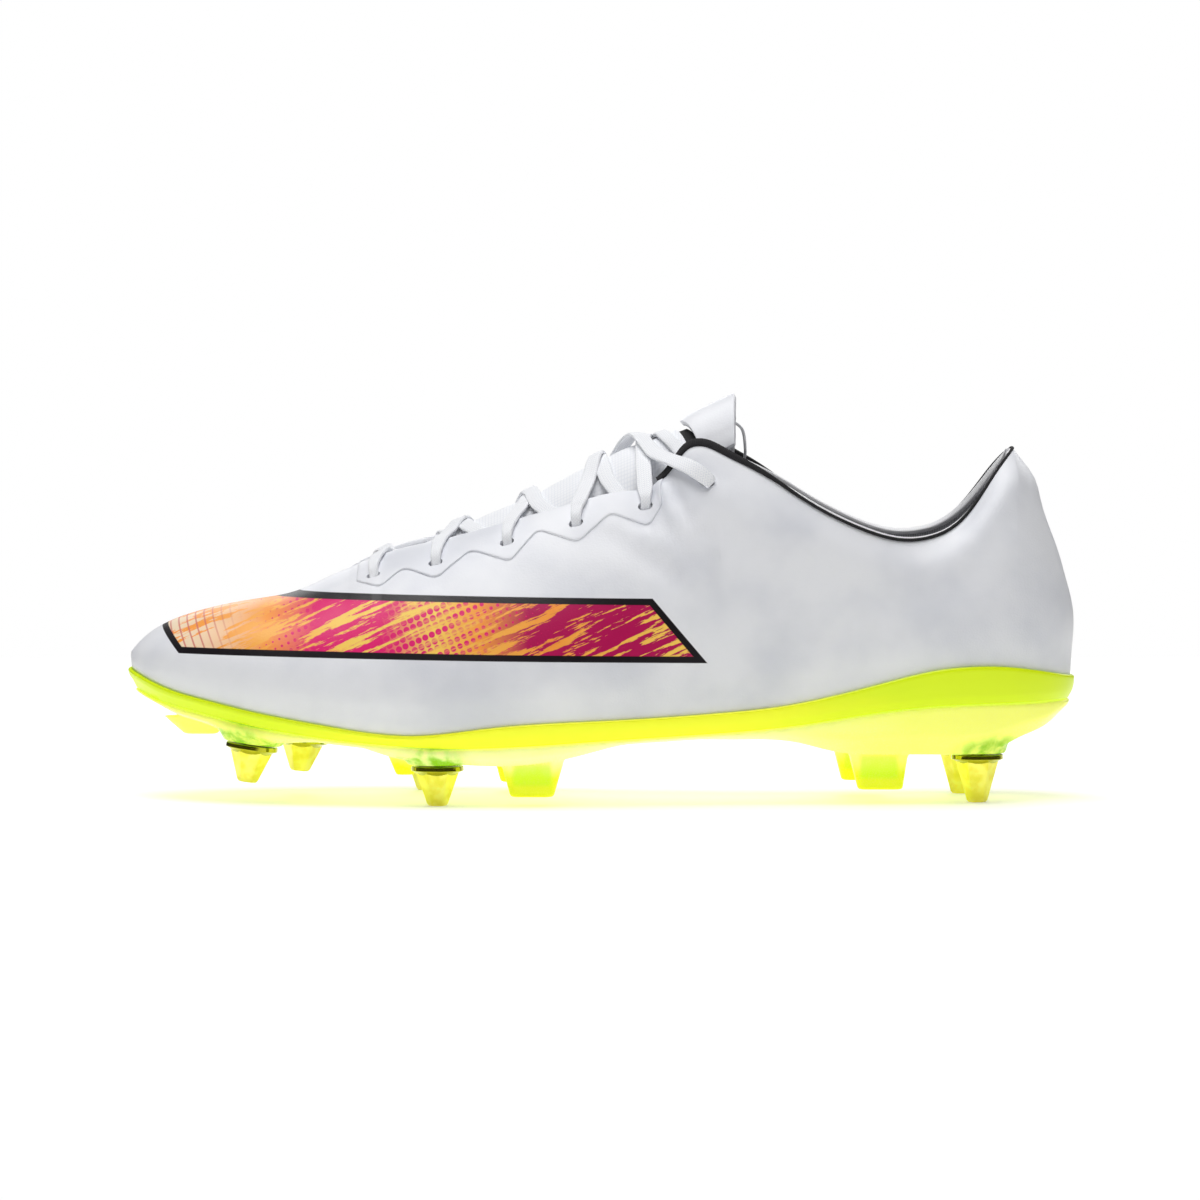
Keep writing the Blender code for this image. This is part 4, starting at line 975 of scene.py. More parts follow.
def make_collar_lining():
    """The padded lining: from the binding it swells inwards, then runs down to the sockliner."""

    def low(x, side):
        return q_at(x, side, parting_z(x) + SOCKLINER_TOP + 0.6)

    def high(x, side):
        return q_at(x, side, edge_z(x, side) + 0.3) if is_open(x) else 2.0

    def depth(t, x):
        padding = 4.4 * smooth(1 - t, 0, 0.4) + 0.9 * hump(t, 0.8, 0.13)
        return 1.5 + padding * smooth(x, 30, 52)

    columns = ring_columns(LINING_X, HEEL_X)
    rows = np.concatenate([np.linspace(0, 0.6, 14), np.linspace(0.6, 1, 22)[1:]])
    points, closed = patch(columns, low, high, rows, depth)
    count, height = points.shape[:2]
    uv = []
    for row in points:
        climb = 0.0
        for j, p in enumerate(row):
            climb += float(np.linalg.norm(p - row[j - 1])) if j else 0.0
            uv.append((float(p[0]), climb))
    lining = new_object("collar_lining", points.reshape(-1, 3), sheet_faces(count, height, closed), LOOKS["lining"], 0)
    add_uv(lining, uv)
    weld(lining)
    thicken(lining, COLLAR_LINING_THICK)
    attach(lining, "boot")
    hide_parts("heel_lining", "collar_foam")


def edge_path(last_x):
    """The opening's edge, from the lateral wing round the heel to the medial wing."""
    xs = [x for x in ALL_STATIONS if last_x < x < HEEL_TOP_X]
    line = [(x, LATERAL) for x in [last_x] + xs + [HEEL_TOP_X]] + [(x, MEDIAL) for x in xs[::-1] + [last_x]]
    return [(skin_frame(x, s, q_at(x, s, edge_z(x, s))), x, s) for x, s in line]


def make_binding():
    """Knitted band folded over the collar's edge: thick at the wings, thin along the ankle."""
    centres, outs, sizes = [], [], []
    for (point, normal, upward), x, _ in edge_path(WING_X):
        wing = 1 - smooth(x, 28, 62)
        tall = 0.9 + 1.8 * wing
        inset = 0.25 + 0.55 * before_tip(x) - 0.25 * wing
        centres.append(point - normal * inset + upward * (tall / 2 - 0.3 + 0.35 * wing))
        outs.append(upward)
        sizes.append((0.6 + 0.4 * wing, tall))
    sweep(
        "collar_band", centres, outs, BINDING_WIDTH, BINDING_THICK, LOOKS["binding"], sizes,
        ("collar_binding",), resample=False,
    )
    centres, outs, sizes = [], [], []
    for (point, normal, upward), x, _ in edge_path(ROLL_X):
        room = min(1.0, max(edge_half(x) / 5.0, 0.3))
        centres.append(point - normal * 1.7 * room + upward * (0.75 * smooth(x, ROLL_X, 60) - 0.2))
        outs.append(upward)
        sizes.append((room, max(room, 0.6)))
    sweep(
        "collar_roll", centres, outs, ROLL_WIDTH, ROLL_THICK, LOOKS["roll"], sizes, (),
        resample=False,
    )


def sweep(name, centres, normals, width, thick, look, scale=None, replaces=(), resample=True,
          body="boot"):
    """A rounded flat strip along a path, with its (width, thickness) scales. UVs are (across, along) in mm.

    The normals face away from the strip's flat side.
    """
    path = np.array(centres, float)
    face = np.array(normals, float)
    scale = np.ones((len(path), 2)) if scale is None else np.array(scale, float)
    if resample:
        path, face, scale = resampled(path, face, scale)
    tangent = np.gradient(path, axis=0)
    tangent /= np.linalg.norm(tangent, axis=1, keepdims=True)
    face = face - tangent * np.sum(face * tangent, axis=1, keepdims=True)
    face /= np.linalg.norm(face, axis=1, keepdims=True)
    across = np.cross(tangent, face)
    outline = superellipse(width / 2, thick / 2, 20)
    travel = run_length(path)
    points, uv = [], []
    girth = run_length(outline)
    for i in range(len(path)):
        for (a, b), g in zip(outline, girth):
            points.append(path[i] + across[i] * a * scale[i][0] + face[i] * b * scale[i][1])
            uv.append((float(g), float(travel[i])))
    obj = new_object(name, points, tube_faces(len(path), len(outline)), look, 50)
    add_uv(obj, uv)
    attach(obj, body)
    if replaces:
        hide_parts(*replaces)
    return float(travel[-1])


def superellipse(a, b, count, power=0.55):
    def rounded(v):
        return math.copysign(abs(v) ** power, v)

    turns = [2 * math.pi * i / count for i in range(count)]
    return np.array([(a * rounded(math.cos(t)), b * rounded(math.sin(t))) for t in turns])


def resampled(path, face, scale, spacing=0.55):
    """The path as a smooth curve through its points, evenly spaced, with its faces and scales."""
    knots = run_length(path, 0.5)
    padded = np.vstack([2 * path[0] - path[1], path, 2 * path[-1] - path[-2]])
    times = np.concatenate([[knots[0] - (knots[1] - knots[0])], knots, [2 * knots[-1] - knots[-2]]])
    more = np.hstack([face, scale])
    out, extra = [], []
    for i in range(1, len(padded) - 2):
        p, t = padded[i - 1 : i + 3], times[i - 1 : i + 3]
        count = max(2, int(np.linalg.norm(p[2] - p[1]) / spacing))
        for s in np.linspace(t[1], t[2], count, endpoint=False):
            a1 = (t[1] - s) / (t[1] - t[0]) * p[0] + (s - t[0]) / (t[1] - t[0]) * p[1]
            a2 = (t[2] - s) / (t[2] - t[1]) * p[1] + (s - t[1]) / (t[2] - t[1]) * p[2]
            a3 = (t[3] - s) / (t[3] - t[2]) * p[2] + (s - t[2]) / (t[3] - t[2]) * p[3]
            b1 = (t[2] - s) / (t[2] - t[0]) * a1 + (s - t[0]) / (t[2] - t[0]) * a2
            b2 = (t[3] - s) / (t[3] - t[1]) * a2 + (s - t[1]) / (t[3] - t[1]) * a3
            out.append((t[2] - s) / (t[2] - t[1]) * b1 + (s - t[1]) / (t[2] - t[1]) * b2)
            share = (s - t[1]) / (t[2] - t[1])
            extra.append(more[i - 1] * (1 - share) + more[i] * share)
    out.append(path[-1])
    extra = np.array(extra + [more[-1]])
    for _ in range(3):
        extra[1:-1] = (extra[:-2] + extra[1:-1] * 2 + extra[2:]) / 4
    return np.array(out), extra[:, :3], extra[:, 3:]


# ---------------------------------------------------------------- tongue


def tongue_point(x, y, lift=0.0, ridge=None):
    """A point on the tongue's outer face raised along its normal, and that normal."""
    ridge = ridge or tongue_ridge_z
    top, low, power = ridge(x), widest_z(x), dome_power(x)
    wide = (side_width(x, LATERAL) + side_width(x, MEDIAL)) / 2 - tongue_inset(x)

    def height(across):
        return low + (top - low) * max(1 - (abs(across) / wide) ** power, 0) ** (1 / power)

    slope = (height(y + 0.2) - height(y - 0.2)) / 0.4
    rise = (ridge(x + 0.5) - ridge(x - 0.5)) * height(y) / top
    normal = unit(np.array((-rise, -slope, 1.0)))
    return np.array((x, ridge_line(x) + y, height(y))) + normal * lift, normal


def flap_front(y):
    """x of the flap's front edge, which runs back towards its sides."""
    return FLAP_X + 0.5 * (math.sqrt(y * y + 4) - 2)


def tongue_back(y):
    """x of the tongue's rear edge, a little ahead of the flap."""
    return FLAP_X - 0.6 + 0.38 * (math.sqrt(y * y + 4) - 2)


def straight(x):
    """A row square across the tongue."""
    return lambda share: x


def rows_between(first, last, count):
    """Rows from one edge to another, each edge a function of the share across."""
    return [lambda t, s=float(s): first(t) + (last(t) - first(t)) * s for s in np.linspace(0, 1, count)]


def tongue_sheet(name, rows, half, across, look, lift, ridge=None):
    """A row is a function of the share across, -1 to 1, that gives x. lift(x, share) raises the face."""
    places = [(row(t), t) for row in rows for t in np.linspace(-1, 1, across)]
    points = [tongue_point(x, t * half(x), lift(x, t), ridge)[0] for x, t in places]
    faces = [(a, d, c, b) for a, b, c, d in sheet_faces(len(rows), across, False)]
    obj = new_object(name, points, faces, look, 0)
    add_uv(obj, [(x, t * half(x)) for x, t in places])
    return obj


def make_tongue():
    """Soft tongue with a crowned middle, pressed down where the laces cross."""
    crossings = [(a + b) / 2 - 3 for (a, _), (b, _) in zip(EYELETS[:4], EYELETS[1:5])] + [14.0]

    def lift(x, share):
        crown = 0.5 * (1 - share * share)
        press = sum(0.45 * hump(x, at, 3.5) for at in crossings) * (1 - 0.6 * abs(share))
        return crown - press - 0.4

    def end(share):
        return tongue_back(share * tongue_half(FLAP_X))

    def inner_half(x):
        return tongue_half(x) - 3

    tongue = tongue_sheet("tongue_pad", rows_between(straight(-86), end, 170), tongue_half, 41, LOOKS["tongue"], lift)
    thicken(tongue, TONGUE_THICK)
    bevel_edges(tongue, 0.5, 3, 60)
    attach(tongue, "boot")
    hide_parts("tongue")
    rows = rows_between(straight(-70), straight(39.2), 60)
    lining = tongue_sheet("tongue_underside", rows, inner_half, 21, LOOKS["lining"], lambda x, t: -2.8)
    thicken(lining, TONGUE_LINING_THICK)
    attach(lining, "boot")
    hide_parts("tongue_lining")


def make_flap():
    """The stiff pull flap at the tongue's top, its clear loop, and the soft strip it hinges on, which is black as a
    painted shadow in the gap under the flap's front edge.
    """

    def front(share):
        return flap_front(share * FLAP_HALF) + 0.2

    def lift(x, share):
        return -0.35 * smooth(abs(share), 0.86, 1.0) - 0.25 * hump(abs(share), 0.84, 0.03)

    rows = rows_between(front, straight(FLAP_END_X), 34)
    flap = tongue_sheet("pull_flap", rows, straight(FLAP_HALF), 41, LOOKS["white"], lift, flap_ridge_z)
    thicken(flap, FLAP_THICK)
    bevel_edges(flap, 0.6, 3, 50)
    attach(flap, "flap")
    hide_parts("tongue_flap")

    loop = ((39.2, -4, 113), (42.4, -4, 110.4), (43.4, -3, 104), (43.2, 0, 101.5), (43.4, 3, 104), (42.4, 4, 110.4))
    loop = [np.array(p, float) for p in loop + ((39.2, 4, 113),)]
    outs = [np.array((1.0, 0, 0.2))] * len(loop)
    sweep("pull_loop", loop, outs, 0.8, 0.7, LOOKS["aglet"], body="flap")

    def height(x):
        step = flap_ridge_z(FLAP_X) - 2.4 - tongue_ridge_z(FLAP_X)
        return tongue_ridge_z(x) + step * smooth(x, 21, 24.5)

    rows = rows_between(straight(FLAP_X - 2.5), lambda t: flap_front(t * HINGE_HALF) + 2.0, 16)
    # The hinge strip takes the black binding look: painted shadow in the gap in front of the flap's rolled edge.
    strip = tongue_sheet(
        "flap_hinge_painted_shadow", rows, straight(HINGE_HALF), 31, LOOKS["binding"], lambda x, t: -0.6, height
    )
    thicken(strip, HINGE_THICK)
    at = (tongue_point(FLAP_X, 0)[0][2]) * MM
    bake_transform(strip)


# ---------------------------------------------------------------- lace


def over(x, side, z, lift):
    point, normal, upward = skin_frame(x, side, q_at(x, side, z))
    return point + normal * lift, normal, upward


def on_skin(x, side, z, lift, face, spread=SPREAD):
    """A lace point over the upper. face is 1 where the lace's face looks out and -1 where it looks in."""
    point, normal, _ = over(x, side, z, lift)
    return point, face * normal, spread


def on_tongue(x, y, lift, face, spread=SPREAD):
    """A lace point over the tongue."""
    point, normal = tongue_point(x, y, lift)
    return point, face * normal, spread


def eyelet_z(x):
    return float(np.interp(x, [a for a, _ in EYELETS], [b for _, b in EYELETS]))


def out_of_eyelet(x, side, z, way):
    """From under an eyelet, up through it and on to the facing. The lace's face turns over on the way."""
    point, normal, upward = over(x - 0.3, side, z - 1.0, -2.4)
    yield point, -way * normal, BUNCHED
    point, normal, upward = over(x, side, z + 0.3, -0.3)
    yield point, -way * upward, BUNCHED
    point, normal, upward = over(x + 0.3, side, z + 1.5, 1.35)
    yield point, way * (normal - upward * 0.6), BUNCHED


def strand(x0, side, x1, height, way):
    """One crossing, from under an eyelet on one side to under the opposite edge."""
    z0 = eyelet_z(x0)
    reach = x1 - x0
    yield from out_of_eyelet(x0, side, z0, way)
    yield on_skin(x0 + 0.05 * reach, side, (edge_z(x0, side) + z0) / 2 + 0.8, 1.35, way, HALF_SPREAD)
    yield on_skin(x0 + 0.1 * reach, side, edge_z(x0, side) - 0.6, 1.45, way)
    x = x0 + 0.28 * reach
    point, normal = tongue_point(x, side * edge_half(x) * 0.5, max((height + 1.6) / 2, 1.4))
    point[2] = max(point[2], edge_z(x, side) + 0.3)
    yield point, way * normal, SPREAD
    yield on_tongue(x0 + 0.5 * reach, 0, height, way)
    x = x0 + 0.7 * reach
    yield on_tongue(x, -side * edge_half(x) * 0.55, 1.3, way)
    yield on_skin(x1 - 0.5, -side, edge_z(x1, -side) - 0.6, -2.4, way)
    yield on_skin(x1 + 2.2, -side, edge_z(x1, -side) - 4.0, -2.6, way, HALF_SPREAD)


def laced_half(side, height):
    """Half the lace, from the middle of the first bar up to its fifth eyelet."""
    first = EYELETS[0][0]
    for y, lift in ((3.0, 1.4), (10.0, 1.3)):
        yield on_tongue(first, side * y, lift, 1)
    xs = [x for x, _ in EYELETS]
    way = -1
    for here, there in zip(xs[:4], xs[1:5]):
        yield from strand(here, side, there - 6.6, height, way)
        side, way = -side, -way
    x = xs[4]
    yield from out_of_eyelet(x, side, eyelet_z(x), way)
    yield on_skin(x + 0.2, side, edge_z(x, side) - 0.6, 1.5, way)


def end_into_top_eyelet(side):
    """From the fifth eyelet across the tongue, over the far collar, into the top eyelet and down inside."""
    for x, y, lift in ((13.4, 10.0, 2.6), (13.8, 0, 1.2), (18.4, -10.0, 1.6)):
        yield on_tongue(x, side * y, lift, -1)
    side = -side
    point, normal, _ = over(22.6, side, edge_z(22.6, side), 0.4)
    yield point + (0, 0, 2.9), -normal - (0, 0, 0.6), SPREAD
    for x, z, lift in ((26.0, 99.8, 2.4), (29.4, 97.0, 1.9)):
        yield on_skin(x, side, z, lift, -1, HALF_SPREAD)
    point, normal, upward = over(31.4, side, 95.0, -0.2)
    yield point, -upward, BUNCHED
    yield on_skin(31.8, side, 93.2, -2.8, 1, BUNCHED)
    for x, y, z in TAIL:
        yield np.array((x, ridge_line(x) + side * y, z)), np.array((0, side, -0.2)), HALF_SPREAD


def end_out_of_top_eyelet(side):
    """From the fifth eyelet under the far collar, out of the top eyelet, back over and tucked in."""
    for x, y, lift in ((15.2, 11.0, 3.2), (18.0, 0, 0.85), (20.0, -5.0, 0.85), (23.6, -10.4, 1.0)):
        yield on_tongue(x, side * y, lift, -1, HALF_SPREAD)
    side = -side
    yield on_skin(27.6, side, 98.8, -2.8, -1, HALF_SPREAD)
    yield on_skin(31.0, side, 95.5, -2.4, -1, BUNCHED)
    away = np.array((0.74, 0, -0.67))
    yield over(31.8, side, 94.8, -0.6)[0], away, BUNCHED
    point, normal, _ = over(32.4, side, 94.4, 0.8)
    yield point, away + normal, HALF_SPREAD
    for x, z, lift in ((31.0, 95.6, 1.5), (27.0, 98.3, 2.0)):
        yield on_skin(x, side, z, lift, 1)
    outward = np.array((0, side, 0.75))
    point, normal, _ = over(22.6, side, edge_z(22.6, side), 1.4)
    point[2] = 101.2
    yield point, outward, SPREAD
    yield tongue_point(17.2, side * 10.6, 4.2)[0], outward, SPREAD
    yield tongue_point(11.4, 0, 3.0)[0], np.array((0, 0, 1.0)), SPREAD
    side = -side
    for x, y, lift in ((5.2, 9.0, 3.4), (2.0, 14.0, 1.8)):
        yield on_tongue(x, side * y, lift, 1)
    for x, z, lift in ((0.0, edge_z(0.0, side) - 1.2, -2.6), (0.6, 83.5, -2.8), (1.4, 79, -3.1), (4.4, 59, -3.2)):
        yield on_skin(x, side, z, lift, 1, HALF_SPREAD)


def make_lace():
    """The flat woven lace as one strip, tail to tail, and its film tips."""
    right = list(laced_half(MEDIAL, HIGH_STRAND)) + list(end_out_of_top_eyelet(MEDIAL))
    left = list(laced_half(LATERAL, LOW_STRAND)) + list(end_into_top_eyelet(LATERAL))
    points, faces, sizes = zip(*(left[::-1] + right))
    length = sweep(
        "flat_lace", points, faces, LACE_WIDTH, LACE_THICK, LOOKS["lace"], sizes, ("lace",)
    )
    print(f"lace length {length:.0f} mm")
    for name, line in (("a", left), ("b", right)):
        (before, *_), (end, facing, _) = line[-2:]
        way = unit(end - before)
        centres = [end + way * t for t in (-TIP_LENGTH, -14.6, -8, -1, 0.4, 0.9)]
        swell = [(v, v) for v in (0.9, 1.0, 1.0, 1.0, 0.96, 0.86)]
        sweep(
            "lace_tip_" + name, centres, [facing] * 6, 3.4, 2.0, LOOKS["aglet"], swell, ("aglet_" + name,),
            resample=False,
        )


# ---------------------------------------------------------------- sole


def plate_low_z(x):
    """The traction plate's underside, always below the parting line."""
    return min(parting_z(x) - 1.6, plate_bottom_z(x))


def make_sockliner():
    """The removable insole: a soft slab with a rounded edge and a shallow heel cup."""
    columns, edge = rim(1.9)
    lines = []
    for (x, _), (ex, ey) in zip(columns, edge):
        centre = centre_of(x, 2)
        low = [(a, b, SOCKLINER_LOW) for a, b in between(centre, (ex, ey), (0, 0.35, 0.7, 0.97, 1))]
        low[-1] = low[-1][:2] + (SOCKLINER_LOW + 0.4,)
        shares = (1, 0.992, 0.98, 0.96, 0.93, 0.8, 0.65, 0.5, 0.3, 0.15, 0)
        tops = [SOCKLINER_TOP - 0.35 * hump(t, 0.4, 0.4) - 0.9 * smooth(t, 0.96, 1) for t in shares]
        high = [(a, b, c) for (a, b), c in zip(between(centre, (ex, ey), shares), tops)]
        lines.append([(a, b, parting_z(a) + c) for a, b, c in low + high])
    sock = fan_solid("foot_bed", columns, lines, LOOKS["sock"])
    add_uv(sock, [tuple(v.co.xy / MM) for v in sock.data.vertices])
    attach(sock, "boot")
    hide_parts("sockliner")


def make_cup():
    """The volt outsole with a rounded lip where its wall meets the upper."""

    def bottom(x, side):
        return 0

    def top(x, side):
        return q_at(x, side, cup_top_z(x))

    def bulged(t, x):
        return -GAP - CUP_WALL * (1 + 0.15 * math.sin(math.pi * t))

    columns = ring_columns(TOE_X, HEEL_X)
    rows = np.linspace(0, 1, 12)
    inner, _ = patch(columns, bottom, top, rows, -GAP)
    outer, _ = patch(columns, bottom, top, rows, bulged)
    _, edge = rim(0)
    lines = []
    for (x, _), inside, outside, (ex, ey) in zip(columns, inner, outer, edge):
        steps = between(centre_of(x, 2), (ex, ey), (0, 0.3, 0.6, 0.85, 1))
        low = [(a, b, parting_z(a)) for a, b in steps]
        high = [(a, b, parting_z(a) + CUP_FLOOR) for a, b in steps[:4]]
        corner = (inside[0][0], inside[0][1], parting_z(ex) + CUP_FLOOR)
        lip = [
            outside[-1] * (1 - t) + inside[-1] * t + (0, 0, 0.45 * math.sin(math.pi * t))
            for t in (0.2, 0.5, 0.8)
        ]
        side = [tuple(p) for p in outside] + [tuple(p) for p in lip] + [tuple(p) for p in inside[:0:-1]]
        lines.append(low + side + [corner] + high[::-1])
    cup = fan_solid("volt_outsole", columns, lines, LOOKS["volt"])
    cup.data.shade_smooth()
    crease(cup, 50)
    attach(cup, "boot")
    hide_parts("outsole_plate")


def blade_block(blade, inset, rise=0.0):
    """A tapered block with round corners, from its root inside the plate to its tip.

    It is smaller all round by inset, and its root goes up by rise along its own taper.
    """
    _, root_x, tip_x, y, root_half, tip_half, tip_z = blade
    top = min(parting_z(x) for x in (root_x[0], sum(root_x) / 2, root_x[1])) - GAP - 0.5
    low = tip_z + inset * 1.6
    work = bmesh.new()
    bmesh.ops.create_cube(work, size=1)
    for vert in work.verts:
        at_tip = vert.co.z < 0
        span, half = (tip_x, tip_half) if at_tip else (root_x, root_half)
        end = 0 if vert.co.x < 0 else 1
        x = span[end] + (inset if end == 0 else -inset)
        vert.co = Vector((x, y + (half - inset) * math.copysign(1, vert.co.y), low if at_tip else top))
    upright = [e for e in work.edges if abs(e.verts[0].co.z - e.verts[1].co.z) > 1]
    for edge in upright:
        high, tip = sorted(edge.verts, key=lambda v: -v.co.z)
        high.co += (high.co - tip.co) * (rise / (high.co.z - tip.co.z))
    corner = min(2.2, tip_half - inset - 0.3)
    bmesh.ops.bevel(work, geom=upright, offset=corner, segments=5, affect="EDGES", profile=0.5)
    for vert in work.verts:
        vert.co *= MM
    mesh = bpy.data.meshes.new("blade_tool")
    work.to_mesh(mesh)
    work.free()
    return link("blade_tool", mesh)


def turned(name, profile, look, sides=72):
    """A closed solid turned about Z from (radius, height) points, from the bottom of the axis to its top."""
    turns = [2 * math.pi * i / sides for i in range(sides)]
    points = [(radius * math.cos(t), radius * math.sin(t), height) for radius, height in profile for t in turns]
    return new_object(name, points, tube_faces(len(profile), sides), look, 35)


def stand(obj, x, y, z, tilt=0.0):
    """Tips a piece about Y by degrees and moves it to a point, both in its mesh."""
    obj.data.transform(Matrix.Translation(Vector((x, y, z)) * MM) @ Matrix.Rotation(math.radians(tilt), 4, "Y"))
    return obj


def make_traction_plate():
    """The clear lower plate: base, stud seats and blades flow into each other as one moulding."""
    columns, edge = rim(-0.35)
    _, shoulder = rim(3.0)
    lines = []
    for (x, _), (ex, ey), (sx, sy) in zip(columns, edge, shoulder):
        inner = between(centre_of(x, 8), (sx, sy), (0, 0.35, 0.7, 0.92))
        top = [(a, b, parting_z(a) - GAP) for a, b in inner + [(ex, ey)]]
        rim_low = (ex, ey, 0.4 * (parting_z(ex) - GAP) + 0.6 * plate_low_z(ex))
        low = [(a, b, plate_low_z(a)) for a, b in [(sx, sy)] + inner[::-1]]
        lines.append((top + [rim_low] + low)[::-1])
    plate = fan_solid("clear_plate", columns, lines, LOOKS["clear"])
    for _, x, y, seat, _, tilt in STUDS:
        top = parting_z(x) - GAP - 1.0 - seat
        pad = turned("pad", [(SEAT_RADIUS, 0), (SEAT_RADIUS + 3.5, top)], None, 48)
        cut(plate, stand(pad, x, y, seat, tilt), "UNION")
    for blade in BLADES:
        cut(plate, blade_block(blade, 0), "UNION")
    remesh = plate.modifiers.new("moulded", "REMESH")
    remesh.mode = "VOXEL"
    remesh.voxel_size = PLATE_VOXEL * MM
    bake(plate)
    ease = plate.modifiers.new("fillets", "SMOOTH")
    ease.factor = 0.5
    ease.iterations = 6
    bake(plate)
    for _, x, y, seat, _, tilt in STUDS:
        profile = [(POCKET_RADIUS, -4), (POCKET_RADIUS, 1.5), (INSERT_RADIUS, 1.5), (INSERT_RADIUS, 3.6)]
        pocket = turned("pocket", profile, None, 40)
        cut(plate, stand(pocket, x, y, seat, tilt), "DIFFERENCE")
    for blade in CORED_BLADES:
        cut(plate, blade_block(blade, CORE_INSET, rise=3), "DIFFERENCE")
    plate.data.materials.clear()
    plate.data.materials.append(LOOKS["clear"])
    plate.data.shade_smooth()
    crease(plate, 50)
    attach(plate, "boot")
    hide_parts("traction_plate")


def make_cores():
    """The coloured fillings of the four large blades."""
    for blade in CORED_BLADES:
        core = blade_block(blade, CORE_INSET + GAP)
        core.name = "blade_filling_" + blade[0]
        core.data.materials.append(LOOKS["core"])
        bevel_edges(core, 0.5, 3, 40)
        crease(core, 50)
        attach(core, "boot")
        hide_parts("blade_core_" + blade[0])


def hex_reach(depth, length, turn):
    """Radius of the six-sided cone at a depth under the seat, flats facing +Y and -Y."""
    places = (CONE_TOP, length - CONE_CHAMFER, length)
    flat, corner = (float(np.interp(depth, places, radii)) for radii in (CONE_FLAT, CONE_CORNER))
    return min(corner, flat / math.cos(turn % (math.pi / 3) - math.pi / 6))


def flange_reach(depth):
    """Radius of the round flange, chamfered below."""
    return float(np.interp(depth, *zip(*FLANGE)))


def make_stud(name, x, y, seat, length, tilt, sides=72):
    """A six-sided cone under a chamfered flange, whose lower edge is scalloped where the flats cut it.

    The UV map's v is the depth under the seat in mm; its u is 1 on the flange, where the material paints olive shade,
    and 0 on the cone.
    """
    depths = [0, 0.2, 1.25, 1.4] + list(np.arange(1.5, 2.75, 0.1)) + list(np.linspace(3.2, length - CONE_CHAMFER, 8))
    depths += [length - 0.3, length]
    turns = [2 * math.pi * i / sides for i in range(sides)]
    points, on_flange = [], []
    for depth in depths:
        for turn in turns:
            cone = hex_reach(depth, length, turn)
            flange = flange_reach(depth) if depth < FLANGE_END else 0
            on_flange.append(float(flange > cone))
            reach = max(cone, flange)
            points.append((reach * math.cos(turn), reach * math.sin(turn), -depth))
    faces = [tuple(range(sides)), tuple(range(len(points) - 1, len(points) - sides - 1, -1))]
    for ring in range(len(depths) - 1):
        for i in range(sides):
            k = (i + 1) % sides
            a, b = ring * sides, (ring + 1) * sides
            faces.append((a + i, b + i, b + k, a + k))
    stud = new_object("screw_stud_" + name, points, faces, LOOKS["gold"], 18)
    add_uv(stud, [(mark, -point[2]) for mark, point in zip(on_flange, points)])
    bore = turned("bore", [(BORE_RADIUS, -4), (BORE_RADIUS, 1)], None, 32)
    cut(stud, bore, "DIFFERENCE")
    down = Matrix.Rotation(math.radians(tilt), 4, "Y") @ Vector((0, 0, -GAP))
    stand(stud, x + down.x, y, seat + down.z, tilt)
    crease(stud, 18)
    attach(stud, "stud_" + name)
    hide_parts("stud_" + name)


def dress_cad_nodes():
    """Inner pieces whose CAD shape is already right get their materials."""
    dressed = {"insole_board": "board", "toe_puff": "board", "heel_counter": "board"}
    for name, *_ in STUDS:
        dressed["stud_pin_" + name] = "steel"
        dressed["stud_insert_" + name] = "steel"
    for node, look in dressed.items():
        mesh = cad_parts[node].data
        mesh.materials.clear()
        mesh.materials.append(LOOKS[look])


# ---------------------------------------------------------------- camera and light


CAMERA_PLACE, CAMERA_TARGET, LENS = (0.0, -1.6, 0.116), (0.0, 0.0, 0.0592), 160.5
FLOOR_HALF, FLOOR_FRONT, FLOOR_REAR, FLOOR_Z = 1800, -1500, 900, -0.02


def aim(obj, place, target):
    obj.location = place
    obj.rotation_euler = (Vector(target) - Vector(place)).to_track_quat("-Z", "Y").to_euler()


def make_camera():
    data = bpy.data.cameras.new("camera")
    data.sensor_width = 36
    data.lens = LENS
    data.clip_end = 20
    camera = link("camera", data)
    aim(camera, CAMERA_PLACE, CAMERA_TARGET)
    bpy.context.scene.camera = camera


def area_light(name, place, target, size, watts, colour=(1, 1, 1)):
    data = bpy.data.lights.new(name, "AREA")
    data.shape = "RECTANGLE"
    data.size, data.size_y = size
    data.energy = watts
    data.color = colour
    aim(link(name, data), place, target)


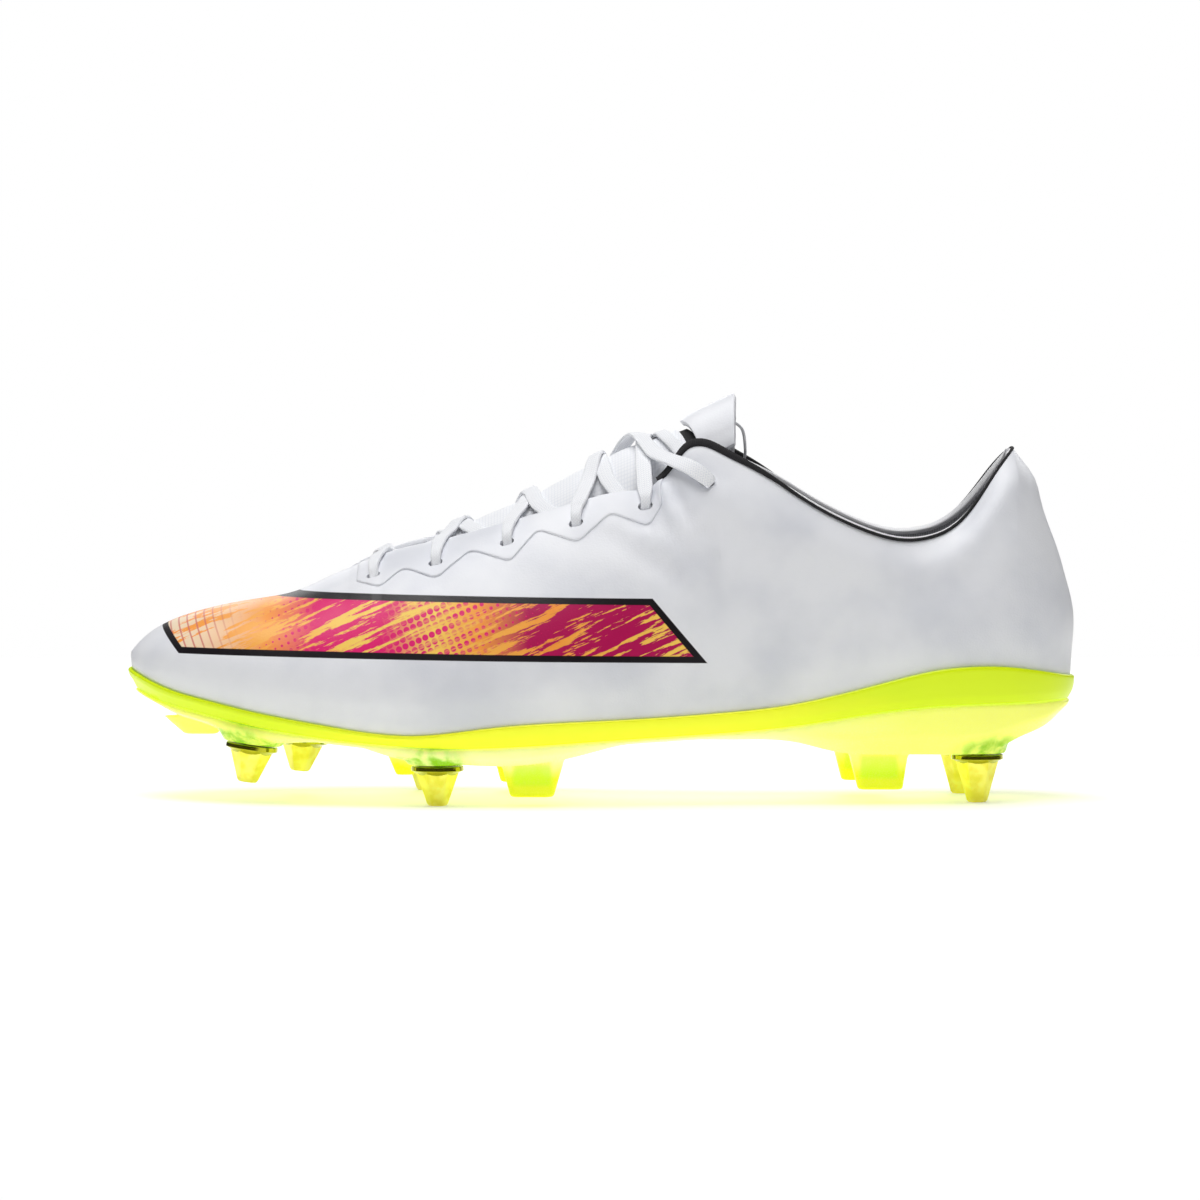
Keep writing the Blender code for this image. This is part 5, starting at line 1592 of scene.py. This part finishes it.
def make_stage():
    """A plain pale floor."""
    material = bpy.data.materials.new("pale_floor")
    material.use_nodes = True
    shader = material.node_tree.nodes["Principled BSDF"]
    shader.inputs["Base Color"].default_value = (0.93, 0.93, 0.93, 1)
    shader.inputs["Roughness"].default_value = 0.6
    shader.inputs["Emission Color"].default_value = (1, 1, 1, 1)
    shader.inputs["Emission Strength"].default_value = 0.3
    corners = (-1, FLOOR_FRONT), (1, FLOOR_FRONT), (1, FLOOR_REAR), (-1, FLOOR_REAR)
    points = [(side * FLOOR_HALF, y, FLOOR_Z) for side, y in corners]
    new_object("floor", points, [(0, 1, 2, 3)], material, 0)


def make_light():
    area_light("overhead", (-0.15, -0.1, 1.25), (0, 0, 0.05), (1.4, 0.7), 14.6)
    area_light("front", (-0.5, -1.6, 0.9), (0, 0, 0.06), (1.2, 0.8), 1.2)
    area_light("back", (0.3, 1.3, 0.6), (0, 0, 0.08), (1.6, 0.5), 6)
    world = bpy.data.worlds.new("studio")
    bpy.context.scene.world = world
    world.use_nodes = True
    tree = world.node_tree
    background = tree.nodes["Background"]
    seen = tree.nodes.new("ShaderNodeLightPath").outputs["Is Camera Ray"]
    height = tree.nodes.new("ShaderNodeSeparateXYZ")
    tree.links.new(tree.nodes.new("ShaderNodeTexCoord").outputs["Generated"], height.inputs[0])
    sky = tree.nodes.new("ShaderNodeMapRange")
    tree.links.new(height.outputs[2], sky.inputs["Value"])
    for socket, value in {"From Min": -0.1, "From Max": 0.8, "To Min": 0.02, "To Max": 0.2}.items():
        sky.inputs[socket].default_value = value
    strength = tree.nodes.new("ShaderNodeMix")
    tree.links.new(seen, strength.inputs[0])
    tree.links.new(sky.outputs[0], strength.inputs[2])
    strength.inputs[3].default_value = 1.0
    tree.links.new(strength.outputs[0], background.inputs["Strength"])
    background.inputs["Color"].default_value = (1, 1, 1, 1)
    bpy.context.scene.view_settings.view_transform = "Standard"


def write_sizes():
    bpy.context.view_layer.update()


make_camera()
make_upper()
for side in SIDES:
    make_eyestay(side)
make_tongue()
make_flap()
make_lace()
make_collar_lining()
make_binding()
make_sockliner()
make_cup()
make_traction_plate()
make_cores()
for stud in STUDS:
    make_stud(*stud)
dress_cad_nodes()
make_stage()
make_light()
write_sizes()
